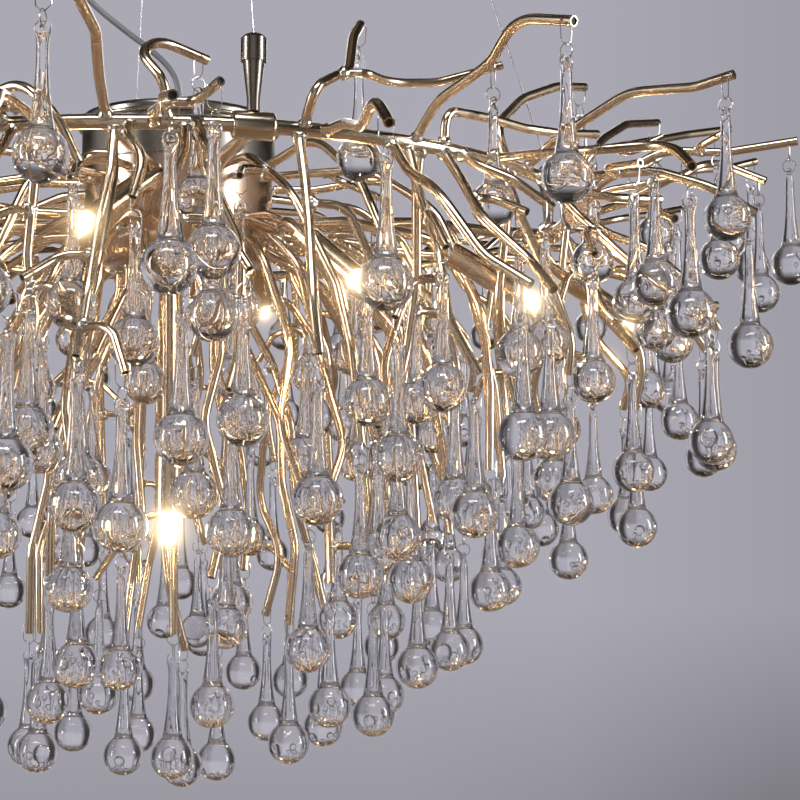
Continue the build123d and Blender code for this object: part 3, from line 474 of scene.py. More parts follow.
# ---------------------------------------------------------------- reading the frame
def corners_of(node: str) -> tuple[np.ndarray, np.ndarray]:
    """A CAD node's corners, each once, and its triangles.

    Args:
        node: The node's name.

    Returns:
        The corners, and rows of three corner numbers.
    """
    mesh = frame["nodes"][node].data
    points = np.zeros(len(mesh.vertices) * 3, np.float32)
    mesh.vertices.foreach_get("co", points)
    mesh.calc_loop_triangles()
    faces = np.zeros(len(mesh.loop_triangles) * 3, np.int32)
    mesh.loop_triangles.foreach_get("vertices", faces)
    rounded = np.round(points.reshape(-1, 3) / WELD).astype(np.int64)
    _, first, inverse = np.unique(rounded, axis=0, return_index=True, return_inverse=True)
    return points.reshape(-1, 3)[first].astype(float), inverse.reshape(-1)[faces].reshape(-1, 3)


def joined(points: np.ndarray, edges: np.ndarray) -> list[np.ndarray]:
    """The corners of each connected set of edges.

    Args:
        points: All corners.
        edges: Rows of two corner numbers.

    Returns:
        One array of corners for each set.
    """
    labels = np.arange(len(points))
    while len(edges):
        lowest = np.minimum(labels[edges[:, 0]], labels[edges[:, 1]])
        merged = labels.copy()
        np.minimum.at(merged, edges[:, 0], lowest)
        np.minimum.at(merged, edges[:, 1], lowest)
        merged = merged[merged]
        if (merged == labels).all():
            break
        labels = merged
    used = np.unique(edges)
    return [points[used[labels[used] == label]] for label in np.unique(labels[used])]


def solids_of(node: str) -> list[np.ndarray]:
    """The corners of each separate solid of a CAD node.

    Args:
        node: The node's name.

    Returns:
        One array of corners for each solid.
    """
    points, faces = corners_of(node)
    return joined(points, np.concatenate([faces[:, [0, 1]], faces[:, [1, 2]]]))


def middle(points: np.ndarray) -> np.ndarray:
    """The centre of the box round some points."""
    return (points.min(0) + points.max(0)) / 2


@dataclass(frozen=True)
class Place:
    """Where a repeated piece stands: its origin and its turn."""

    origin: Vector
    turn: Euler

    @classmethod
    def along(cls, origin: Sequence[float], way: Sequence[float]) -> "Place":
        """A place whose Z axis points a given way."""
        return cls(Vector(origin), Vector(way).to_track_quat("Z", "Y").to_euler())


def hook_place(points: np.ndarray) -> Place:
    """The place of a hook: the middle of its cross hole, X along the hole and Z up.

    Args:
        points: The hook solid's corners.

    Returns:
        The place.
    """
    flat = points[:, :2] - points[:, :2].mean(0)
    _, axes = np.linalg.eigh(flat.T @ flat)
    wide = axes[:, -1]
    across = flat @ axes
    centre = points[:, :2].mean(0) + axes @ ((across.min(0) + across.max(0)) / 2)
    origin = Vector((*centre, points[:, 2].max() - Hanger.wire / 2))
    return Place(origin, Euler((0.0, 0.0, math.atan2(wide[1], wide[0]))))


def swinging_numbers() -> list[str]:
    """The numbers of the hangers that swing."""
    return sorted((b.rsplit("_", 1)[1] for b in frame["bodies"] if b.startswith("hook_")), key=int)


def swinging_place(number: str) -> Place:
    """The place of a swinging hanger."""
    return hook_place(max(solids_of(f"swinging_hook_{number}"), key=lambda points: points[:, 2].max()))


# ---------------------------------------------------------------- meshes
PARTS: list[bpy.types.Object] = []  # pieces that are only repeated, removed at the end


def master(obj: bpy.types.Object) -> bpy.types.Object:
    """Note a piece that is only repeated, so that it is removed at the end."""
    PARTS.append(obj)
    return obj


def placed(name: str, data: bpy.types.ID) -> bpy.types.Object:
    """A new object, put into the scene."""
    obj = bpy.data.objects.new(name, data)
    bpy.context.scene.collection.objects.link(obj)
    return obj


def round_of(count: int) -> list[tuple[float, float]]:
    """Points evenly round a circle of radius 1."""
    angles = [2 * math.pi * i / count for i in range(count)]
    return [(math.cos(angle), math.sin(angle)) for angle in angles]


def lathe(profile: Sequence[tuple[float, float]], segments: int) -> bmesh.types.BMesh:
    """Turn a profile about Z into a closed shell.

    Args:
        profile: Points (radius, height) from one pole to the other, both on the axis.
        segments: The number of sides.

    Returns:
        The shell, with its faces outward.
    """
    shell = bmesh.new()
    rings = []
    for radius, height in profile:
        if radius < WELD:
            rings.append([shell.verts.new((0.0, 0.0, height))])
            continue
        ring = [(radius * x, radius * y, height) for x, y in round_of(segments)]
        rings.append([shell.verts.new(corner) for corner in ring])
    for low, high in zip(rings, rings[1:]):
        for i in range(segments):
            j = (i + 1) % segments
            corners = [low[i % len(low)], low[j % len(low)], high[j % len(high)], high[i % len(high)]]
            shell.faces.new(list(dict.fromkeys(corners)))
    bmesh.ops.recalc_face_normals(shell, faces=shell.faces)
    return shell


def bent_wire(
    points: Sequence[Vector], radius: float, sides: int, closed: bool = False
) -> bmesh.types.BMesh:
    """A round wire through points.

    Args:
        points: The wire's centre line.
        radius: The wire's radius.
        sides: The number of its sides.
        closed: Whether the wire is a ring.

    Returns:
        The wire as a closed shell.
    """
    shell = bmesh.new()
    count = len(points)
    rings, side = [], None
    for i, point in enumerate(points):
        after = points[(i + 1) % count] if closed or i < count - 1 else point
        before = points[i - 1] if closed or i > 0 else point
        ahead = (after - before).normalized()
        if side is None:
            side = ahead.orthogonal().normalized()
        side = (side - ahead * side.dot(ahead)).normalized()
        up = ahead.cross(side)
        ring = [point + (side * x + up * y) * radius for x, y in round_of(sides)]
        rings.append([shell.verts.new(corner) for corner in ring])
    pairs = zip(rings, rings[1:] + rings[:1]) if closed else zip(rings, rings[1:])
    for low, high in pairs:
        for k in range(sides):
            j = (k + 1) % sides
            shell.faces.new([low[k], low[j], high[j], high[k]])
    if not closed:
        shell.faces.new(rings[0])
        shell.faces.new(rings[-1])
    bmesh.ops.recalc_face_normals(shell, faces=shell.faces)
    return shell


def finished(
    name: str, shell: bmesh.types.BMesh, finish: Finish, smooth_angle: float = 40.0
) -> bpy.types.Object:
    """A new object from a shell, smooth except at sharp edges.

    Args:
        name: The object's name.
        shell: Its mesh, freed here.
        finish: Its finish.
        smooth_angle: The edge angle, in degrees, above which an edge stays sharp.

    Returns:
        The object, in the scene.
    """
    mesh = bpy.data.meshes.new(name)
    shell.to_mesh(mesh)
    shell.free()
    mesh.shade_smooth()
    mesh.set_sharp_from_angle(angle=math.radians(smooth_angle))
    mesh.materials.clear()
    mesh.materials.append(finish.material())
    return placed(name, mesh)


def give_out(
    graph: Graph, last: bpy.types.Node, given: bpy.types.Node, result: bpy.types.Node
) -> None:
    """End geometry nodes: make what they hold real, and give it the material.

    Args:
        graph: The graph.
        last: The node whose first output is the geometry.
        given: The group's input node.
        result: The group's output node.
    """
    real = graph.add("GeometryNodeRealizeInstances", {0: last.outputs[0]})
    dressed = graph.add(
        "GeometryNodeSetMaterial", {"Geometry": real.outputs[0], "Material": given.outputs["Material"]}
    )
    graph.tree.links.new(dressed.outputs[0], result.inputs["Geometry"])


def repeat_group() -> bpy.types.NodeTree:
    """Geometry nodes that set a copy of one piece on every point.

    Returns:
        A group with the inputs Piece, Material, Size Spread, Spin Spread and Seed. Each point's turn
        attribute says how its copy is turned.
    """
    tree, graph, given, result = make_group(
        "Set_Out_Copies",
        "GeometryNodeTree",
        {
            "Geometry": ("NodeSocketGeometry", None),
            "Piece": ("NodeSocketObject", None),
            "Material": ("NodeSocketMaterial", None),
            "Size Spread": ("NodeSocketFloat", 0.0),
            "Spin Spread": ("NodeSocketFloat", 0.0),
            "Seed": ("NodeSocketInt", 7),
        },
        {"Geometry": "NodeSocketGeometry"},
    )
    piece = graph.add("GeometryNodeObjectInfo", {"Object": given.outputs["Piece"]})
    turn = graph.add("GeometryNodeInputNamedAttribute", {"Name": "turn"}, data_type="FLOAT_VECTOR")
    size = given.outputs["Size Spread"]
    sizes = graph.add("FunctionNodeRandomValue", {"Seed": given.outputs["Seed"]}, data_type="FLOAT")
    tree.links.new(graph.math("SUBTRACT", 1.0, size), sizes.inputs[2])
    tree.links.new(graph.math("ADD", 1.0, size), sizes.inputs[3])
    next_seed = graph.math("ADD", given.outputs["Seed"], 1)
    spins = graph.add("FunctionNodeRandomValue", {"Seed": next_seed}, data_type="FLOAT")
    spin = given.outputs["Spin Spread"]
    tree.links.new(graph.math("MULTIPLY", spin, -1.0), spins.inputs[2])
    tree.links.new(spin, spins.inputs[3])
    spun = graph.add("ShaderNodeCombineXYZ", {2: spins.outputs[1]})
    copies = graph.add(
        "GeometryNodeInstanceOnPoints",
        {
            "Points": given.outputs["Geometry"],
            "Instance": piece.outputs["Geometry"],
            "Rotation": turn.outputs[0],
            "Scale": sizes.outputs[1],
        },
    )
    turned = graph.add(
        "GeometryNodeRotateInstances", {"Instances": copies.outputs[0], "Rotation": spun.outputs[0]}
    )
    give_out(graph, turned, given, result)
    return tree


def apply_tree(
    name: str, source: bpy.types.Object, tree: bpy.types.NodeTree, inputs: dict[str, object]
) -> bpy.types.Object:
    """Run geometry nodes on an object and keep the result as a plain mesh.

    Args:
        name: The new object's name.
        source: The object that the tree works on, removed here.
        tree: The geometry nodes.
        inputs: The value of each named input.

    Returns:
        The new object, in the scene.
    """
    modifier = source.modifiers.new(tree.name, "NODES")
    modifier.node_group = tree
    for item in tree.interface.items_tree:
        if item.item_type == "SOCKET" and item.in_out == "INPUT" and item.name in inputs:
            modifier[item.identifier] = inputs[item.name]
    source.update_tag()
    bpy.context.view_layer.update()
    evaluated = source.evaluated_get(bpy.context.evaluated_depsgraph_get())
    mesh = bpy.data.meshes.new_from_object(evaluated)
    mesh.name = name
    for attribute in [a.name for a in mesh.attributes if a.name in ("turn", "rotation")]:
        mesh.attributes.remove(mesh.attributes[attribute])
    obj = placed(name, mesh)
    bpy.data.objects.remove(source)
    return obj


def set_out(
    name: str,
    piece: bpy.types.Object,
    places: Sequence[Place],
    finish: Finish,
    body: str,
    *nodes: str,
    size_spread: float = 0.0,
    spin_spread: float = 0.0,
    seed: int = 7,
) -> bpy.types.Object:
    """Copies of one piece at many places, as one mesh.

    Args:
        name: The new object's name.
        piece: The piece that is repeated; it stays for other calls.
        places: Where the copies stand.
        finish: Their finish.
        body: The CAD body they move with.
        *nodes: The CAD nodes that they stand for.
        size_spread: How much their sizes differ, as a share.
        spin_spread: How much they are spun about their own Z, in radians.
        seed: The seed of both.

    Returns:
        The new object.
    """
    mesh = bpy.data.meshes.new(name + "_points")
    mesh.from_pydata([tuple(place.origin) for place in places], [], [])
    turns = mesh.attributes.new("turn", "FLOAT_VECTOR", "POINT")
    turns.data.foreach_set("vector", [value for place in places for value in place.turn])
    points = placed(name + "_points", mesh)
    inputs = {
        "Piece": piece,
        "Material": finish.material(),
        "Size Spread": size_spread,
        "Spin Spread": spin_spread,
        "Seed": seed,
    }
    copies = apply_tree(name, points, bpy.data.node_groups["Set_Out_Copies"], inputs)
    return settle(copies, body, finish, *nodes)


def smooth_group() -> bpy.types.NodeTree:
    """Geometry nodes that weld loose triangles and shade them smooth except at sharp edges.

    Returns:
        A group with the inputs Weld Distance, Sharp Angle and Material.
    """
    tree, graph, given, result = make_group(
        "Weld_And_Smooth",
        "GeometryNodeTree",
        {
            "Geometry": ("NodeSocketGeometry", None),
            "Weld Distance": ("NodeSocketFloat", WELD),
            "Sharp Angle": ("NodeSocketFloat", 0.6),
            "Material": ("NodeSocketMaterial", None),
        },
        {"Geometry": "NodeSocketGeometry"},
    )
    welded = graph.add(
        "GeometryNodeMergeByDistance",
        {"Geometry": given.outputs["Geometry"], "Distance": given.outputs["Weld Distance"]},
    )
    angle = graph.add("GeometryNodeInputMeshEdgeAngle")
    gentle = graph.add(
        "FunctionNodeCompare", {0: angle.outputs[0], 1: given.outputs["Sharp Angle"]}, operation="LESS_THAN"
    )
    faces = graph.add(
        "GeometryNodeSetShadeSmooth",
        {"Geometry": welded.outputs[0], "Shade Smooth": True},
        domain="FACE",
    )
    edges = graph.add(
        "GeometryNodeSetShadeSmooth",
        {"Geometry": faces.outputs[0], "Shade Smooth": gentle.outputs[0]},
        domain="EDGE",
    )
    give_out(graph, edges, given, result)
    return tree


def smooth_copy(node: str, name: str, finish: Finish, sharp_angle: float = 35.0) -> bpy.types.Object:
    """A welded, smoothly shaded piece that stands for a CAD node.

    Args:
        node: The CAD node.
        name: The piece's name.
        finish: Its finish.
        sharp_angle: The edge angle, in degrees, above which an edge stays sharp.

    Returns:
        The piece, riding on the node's body.
    """
    mesh = frame["nodes"][node].data.copy()
    mesh.materials.clear()
    if mesh.has_custom_normals:
        mesh.attributes.remove(mesh.attributes["custom_normal"])
    source = placed(name + "_source", mesh)
    inputs = {"Weld Distance": WELD, "Sharp Angle": math.radians(sharp_angle), "Material": finish.material()}
    obj = apply_tree(name, source, bpy.data.node_groups["Weld_And_Smooth"], inputs)
    return settle(obj, frame["nodes"][node]["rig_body"], finish, node)


def dress_nodes(finishes: dict[str, Finish]) -> None:
    """Dress the CAD nodes that need nothing but a finish."""
    for node, finish in finishes.items():
        smooth_copy(node, node + "_shell", finish)


def settle(obj: bpy.types.Object, body: str, finish: Finish, *nodes: str) -> bpy.types.Object:
    """Make a piece ride on its body and hide the CAD nodes it stands for.

    Args:
        obj: The piece.
        body: The CAD body it moves with.
        finish: Its finish, whose name is logged.
        *nodes: The CAD nodes that it stands for.

    Returns:
        The same piece.
    """
    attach(obj, body)
    if nodes:
        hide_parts(*nodes)
    faces = len(getattr(obj.data, "polygons", ()))
    log.info("%s on %s: %d faces, %s", obj.name, body, faces, finish.name)
    return obj


# ---------------------------------------------------------------- the studio
@dataclass(frozen=True)
class Softbox:
    """A rectangular studio light that shows in metal but not through glass.

    Attributes:
        name: The light's name.
        place: Where it stands.
        aim: The point it faces.
        size: Its width and height.
        power: Its power in watts.
        colour: Its colour.
    """

    name: str
    place: tuple[float, float, float]
    aim: tuple[float, float, float]
    size: tuple[float, float]
    power: float
    colour: RGB = (1.0, 1.0, 1.0)

    def hang(self) -> None:
        """Add the light to the scene, unseen by the camera."""
        light = bpy.data.lights.new(self.name, "AREA")
        light.shape = "RECTANGLE"
        light.size, light.size_y = self.size
        light.energy = self.power
        light.color = self.colour
        obj = placed(self.name, light)
        obj.location = self.place
        ahead = Vector(self.aim) - Vector(self.place)
        obj.rotation_euler = ahead.to_track_quat("-Z", "Y").to_euler()
        obj.visible_camera = False
        obj.visible_transmission = False


@dataclass(frozen=True)
class Studio:
    """The camera, the backdrop and the lights.

    Attributes:
        camera_place: Where the camera stands.
        camera_heading: Its heading to the right of +Y, in degrees.
        camera_rise: Its tilt above level, in degrees.
        lens: Its focal length in millimetres, on a 36 mm sensor.
        wall: The backdrop's colour where it is lightest.
        panel: How bright metal sees the wall's panels.
        gap: The dark between the panels.
        glow: The warm glow from below.
        through_glass: How much brighter glass sees the backdrop.
        under_glass: What glass sees between the panels, low down.
        wall_losses: The shares of light lost at the backdrop's foot, more at its foot toward the
            right, and at its far right.
        foot_band: The rises between which the backdrop's foot darkens.
        side_band: The headings, in radians, between which its right side begins.
        far_band: The headings between which its far right begins.
        back_band: The headings between which it grows light again.
        panel_heading: The heading of one panel, in degrees.
        wide_edge: The headings off a panel's middle between which glass sees it end, in degrees.
        narrow_edge: The same where metal sees it.
        wide_foot: The rises between which glass sees the panels begin.
        wide_head: The rises between which glass sees them end.
        narrow_foot: The rises between which metal sees the panels begin.
        narrow_head: The rises between which metal sees them end.
        low_band: The rises between which the glow from below begins.
        softboxes: The lights.
    """

    camera_place: tuple[float, float, float] = (-0.258, -1.729, -0.877)
    camera_heading: float = 15.53
    camera_rise: float = 5.04
    lens: float = 81.7
    wall: RGB = (0.405, 0.396, 0.450)
    panel: RGB = (0.375, 0.352, 0.332)
    gap: RGB = (0.014, 0.011, 0.009)
    glow: RGB = (0.19, 0.12, 0.062)
    through_glass: float = 1.17
    under_glass: RGB = (0.10, 0.085, 0.08)
    wall_losses: tuple[float, float, float] = (0.19, 0.17, 0.13)
    foot_band: tuple[float, float] = (-0.025, -0.125)
    side_band: tuple[float, float] = (0.0, 0.2)
    far_band: tuple[float, float] = (0.09, 0.21)
    back_band: tuple[float, float] = (0.5, 1.2)
    panel_heading: float = 15.5
    wide_edge: tuple[float, float] = (26, 38)
    narrow_edge: tuple[float, float] = (14, 30)
    wide_foot: tuple[float, float] = (-0.97, -0.8)
    wide_head: tuple[float, float] = (0.36, 0.62)
    narrow_foot: tuple[float, float] = (-0.72, -0.45)
    narrow_head: tuple[float, float] = (0.22, 0.45)
    low_band: tuple[float, float] = (-0.25, -0.6)
    softboxes: tuple[Softbox, ...] = (
        Softbox("top_softbox", (-0.5, -1.7, 1.5), (0.0, 0.0, -0.6), (1.7, 0.5), 42.0),
        Softbox("right_softbox", (2.3, -1.5, -0.3), (0.0, 0.0, -0.6), (0.45, 1.7), 46.0),
        Softbox("left_softbox", (-2.7, -0.5, -0.3), (0.0, 0.0, -0.6), (0.4, 1.7), 38.0),
        Softbox("rear_softbox", (0.9, 2.9, 0.6), (0.0, 0.0, -0.6), (1.7, 0.6), 14.0),
    )

    def build(self) -> None:
        """Set up the camera, the world and the lights."""
        self.place_camera()
        self.paint_world()
        for softbox in self.softboxes:
            softbox.hang()
        self.add_glow()
        scene = bpy.context.scene
        scene.view_settings.view_transform = "Standard"
        scene.cycles.max_bounces = 14
        scene.cycles.transmission_bounces = 14
        scene.cycles.glossy_bounces = 6
        scene.cycles.sample_clamp_indirect = 12.0
        scene.cycles.blur_glossy = 0.3

    def add_glow(self) -> None:
        """A soft glow round what is brighter than white, as a lens gives the bulbs."""
        scene = bpy.context.scene
        scene.use_nodes = True
        tree = scene.node_tree
        tree.nodes.clear()
        layers = tree.nodes.new("CompositorNodeRLayers")
        glare = tree.nodes.new("CompositorNodeGlare")
        glare.glare_type = "FOG_GLOW"
        glare.quality = "HIGH"
        for name, value in (("Threshold", 4.0), ("Strength", 0.5), ("Size", 0.3), ("Maximum", 30.0)):
            glare.inputs[name].default_value = value
        glare.inputs["Clamp"].default_value = True
        result = tree.nodes.new("CompositorNodeComposite")
        tree.links.new(layers.outputs["Image"], glare.inputs["Image"])
        tree.links.new(glare.outputs["Image"], result.inputs["Image"])

    def place_camera(self) -> None:
        """Add the camera."""
        heading, rise = math.radians(self.camera_heading), math.radians(self.camera_rise)
        level = math.cos(rise)
        ahead = Vector((math.sin(heading) * level, math.cos(heading) * level, math.sin(rise)))
        data = bpy.data.cameras.new("camera")
        data.lens, data.sensor_width = self.lens, 36.0
        data.clip_start, data.clip_end = 0.05, 60.0
        camera = placed("camera", data)
        camera.location = self.camera_place
        camera.rotation_euler = ahead.to_track_quat("-Z", "Y").to_euler()
        bpy.context.scene.camera = camera

    def paint_world(self) -> None:
        """A plain backdrop behind the object, and round it a studio for what metal and glass show."""
        world = bpy.data.worlds.new("studio")
        world.use_nodes = True
        graph = Graph(world.node_tree)
        way = graph.add("ShaderNodeTexCoord").outputs["Generated"]
        parts = graph.add("ShaderNodeSeparateXYZ", {0: graph.vector("NORMALIZE", way).outputs[0]})
        rise = parts.outputs[2]
        around = graph.math("ARCTAN2", parts.outputs[0], parts.outputs[1])
        wall = graph.vector("SCALE", self.wall)
        light = graph.math("SUBTRACT", 1.0, self.wall_loss(graph, rise, around))
        graph.tree.links.new(light, wall.inputs["Scale"])
        bright = graph.vector("SCALE", wall.outputs[0])
        bright.inputs["Scale"].default_value = self.through_glass
        wide = self.panel_share(graph, rise, around, self.wide_edge, (self.wide_foot, self.wide_head))
        narrow = self.panel_share(
            graph, rise, around, self.narrow_edge, (self.narrow_foot, self.narrow_head)
        )
        low = graph.fade(rise, self.low_band)
        for_glass = graph.blend(wide, graph.blend(low, self.gap, self.under_glass), bright.outputs[0])
        for_metal = graph.blend(narrow, graph.blend(low, self.gap, self.glow), self.panel)
        rays = graph.add("ShaderNodeLightPath")
        seen = graph.blend(rays.outputs["Is Transmission Ray"], for_metal, for_glass)
        colour = graph.blend(rays.outputs["Is Camera Ray"], seen, wall.outputs[0])
        background = world.node_tree.nodes["Background"]
        graph.tree.links.new(colour, background.inputs["Color"])
        bpy.context.scene.world = world

    def wall_loss(self, graph: Graph, rise: Input, around: Input) -> bpy.types.NodeSocket:
        """The light the backdrop loses toward its foot, and a little toward its right.

        Args:
            graph: The world's graph.
            rise: The rise of the way looked in.
            around: Its heading, in radians.

        Returns:
            The share lost.
        """
        at_foot, more_at_side, at_far_right = self.wall_losses
        right = graph.math("SUBTRACT", around, math.radians(self.camera_heading))
        back = graph.fade(right, self.back_band, out=True)
        side = graph.math("MULTIPLY", graph.fade(right, self.side_band), back)
        share = graph.math("ADD", at_foot, graph.math("MULTIPLY", side, more_at_side))
        low = graph.math("MULTIPLY", graph.fade(rise, self.foot_band), share)
        far = graph.math("MULTIPLY", graph.fade(right, self.far_band), back)
        return graph.math("ADD", low, graph.math("MULTIPLY", far, at_far_right))

    def panel_share(
        self,
        graph: Graph,
        rise: Input,
        around: Input,
        edge: tuple[float, float],
        ends: tuple[tuple[float, float], tuple[float, float]],
    ) -> bpy.types.NodeSocket:
        """Where one of the four panels stands, with dark gaps between them.

        Args:
            graph: The world's graph.
            rise: The rise of the way looked in.
            around: Its heading, in radians.
            edge: The headings off a panel's middle between which it ends, in degrees.
            ends: The rises between which it begins, and those between which it ends.

        Returns:
            1 on a panel and 0 off it.
        """
        foot, head = ends
        whole_turns = 10 * math.pi  # keeps the heading above zero
        heading = graph.math("ADD", around, whole_turns - math.radians(self.panel_heading))
        folded = graph.math("PINGPONG", heading, math.pi / 4)
        across = graph.fade(folded, tuple(math.radians(angle) for angle in edge), out=True)
        upright = graph.math("MULTIPLY", graph.fade(rise, foot), graph.fade(rise, head, out=True))
        return graph.math("MULTIPLY", across, upright)


# ---------------------------------------------------------------- cord and wires
@dataclass
class Cord:
    """A free cord on its route.

    Attributes:
        name: The cord's name.
        route: Its control points.
        diameter: Its diameter.
        length: Its real length; not used.
        finish: Its finish.
        stiffness: limp, medium or stiff; not used.
        lay: loose or taut; not used.
        nodes: The CAD nodes it stands for.
    """

    name: str
    route: Sequence[Vector]
    diameter: float
    length: float
    finish: Finish
    stiffness: str
    lay: str
    nodes: tuple[str, ...]

    def build(self) -> bpy.types.Object:
        curve = bpy.data.curves.new(self.name, "CURVE")
        curve.dimensions = "3D"
        curve.bevel_depth = self.diameter / 2
        curve.bevel_resolution = 3
        curve.resolution_u = 16
        curve.use_fill_caps = True
        spline = curve.splines.new("NURBS")
        spline.points.add(len(self.route) - 1)
        for point, place in zip(spline.points, self.route):
            point.co = (*place, 1.0)
        spline.order_u = 3
        spline.use_endpoint_u = True
        spline.use_smooth = True
        curve.materials.append(self.finish.material())
        obj = placed(self.name, curve)
        settle(obj, "frame", self.finish, *self.nodes)
        return obj


@dataclass
class Suspension:
    """The mains cord, the four wires, their cups and nipples, and the canopy.

    Attributes:
        cord_points: The mains cord's route: out along its heading, sideways, and the share of the rise.
        cord_heading: The side on which the cord bows out, in degrees.
        cord_length: The cord's length.
        cord_diameter: The cord's diameter.
        wire_radius: A wire's radius.
        wire_count: The number of wires.
    """

    cord_points: tuple[tuple[float, float, float], ...] = (
        (0, 0, 0),
        (0, 0, 0.068),
        (0.009, 0.001, 0.116),
        (0.029, 0.003, 0.161),
        (0.056, 0.004, 0.209),
        (0.088, 0.003, 0.275),
        (0.114, 0, 0.36),
        (0.128, -0.004, 0.463),
        (0.126, -0.007, 0.569),
        (0.111, -0.008, 0.664),
        (0.088, -0.006, 0.744),
        (0.058, -0.003, 0.802),
        (0.027, -0.001, 0.844),
        (0.006, 0, 0.887),
        (0, 0, 0.945),
        (0, 0, 1),
    )
    cord_heading: float = 171.5
    cord_length: float = 0.498
    cord_diameter: float = 0.006
    wire_radius: float = 0.0006
    wire_count: int = 4

    def build(self) -> None:
        """Lay the cord and the wires and dress the pieces at their ends."""
        low, high = (corner.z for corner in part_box("power_cord"))
        turn = Matrix.Rotation(math.radians(self.cord_heading), 3, "Z")
        route = [
            turn @ Vector((out, side, 0.0)) + Vector((0.0, 0.0, low + share * (high - low)))
            for out, side, share in self.cord_points
        ]
        Cord(
            "mains_cord", route, self.cord_diameter, self.cord_length,
            SHEATH, "medium", "loose", ("power_cord",),
        ).build()
        lowest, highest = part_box("suspension_wire_1")
        foot = Vector((highest.x - self.wire_radius, 0.0, lowest.z))
        head = Vector((lowest.x + self.wire_radius, 0.0, highest.z))
        for number in range(self.wire_count):
            turn = Matrix.Rotation(2 * math.pi * number / self.wire_count, 3, "Z")
            route = [turn @ head, turn @ (head + foot) / 2, turn @ foot]
            Cord(
                f"wire_{number + 1}", route, 2 * self.wire_radius, (head - foot).length,
                WIRE, "stiff", "taut", (f"suspension_wire_{number + 1}",),
            ).build()
        dress_nodes(
            {
                "wire_nipples": NICKEL,
                "wire_cups": CUP,
                "canopy": BRUSHED,
                "canopy_posts": ZINC,
                "canopy_cord_gland": NICKEL,
                "canopy_terminal_block": BLOCK_WHITE,
                "ceiling_cross_plate": ZINC,
            }
        )


# ---------------------------------------------------------------- hub and ring
@dataclass
class Hub:
    """The brushed drum, the polished housing under it and what is screwed to them."""

    def build(self) -> None:
        """Dress the hub's own pieces, the ring and its spokes."""
        dress_nodes(
            {
                "hub_lid": BRUSHED,
                "hub_drum": BRUSHED,
                "hub_partition": BRUSHED,
                "hub_housing": ROSE,
                "hub_cord_gland": NICKEL,
                "hub_lid_screws": NICKEL,
                "hub_posts": ZINC,
                "hub_terminal_block": BLOCK_WHITE,
                "carrier_ring": CHAMPAGNE_RING,
                "ring_knuckles": CHAMPAGNE_RING,
                "ring_spokes": CHAMPAGNE_RING,
            }
        )


# ---------------------------------------------------------------- lamps
@dataclass
class Lamps:
    """The lamps' arms, sleeves, holders and lit bulbs."""

    def build(self) -> None:
        """Dress every lamp."""
        dress_nodes(
            {
                "lamp_arms": CHAMPAGNE,
                "lamp_sleeves": SLEEVE,
                "lamp_holders": CERAMIC,
                "bulb_bases": CERAMIC,
                "bulb_glasses": BULB,
            }
        )


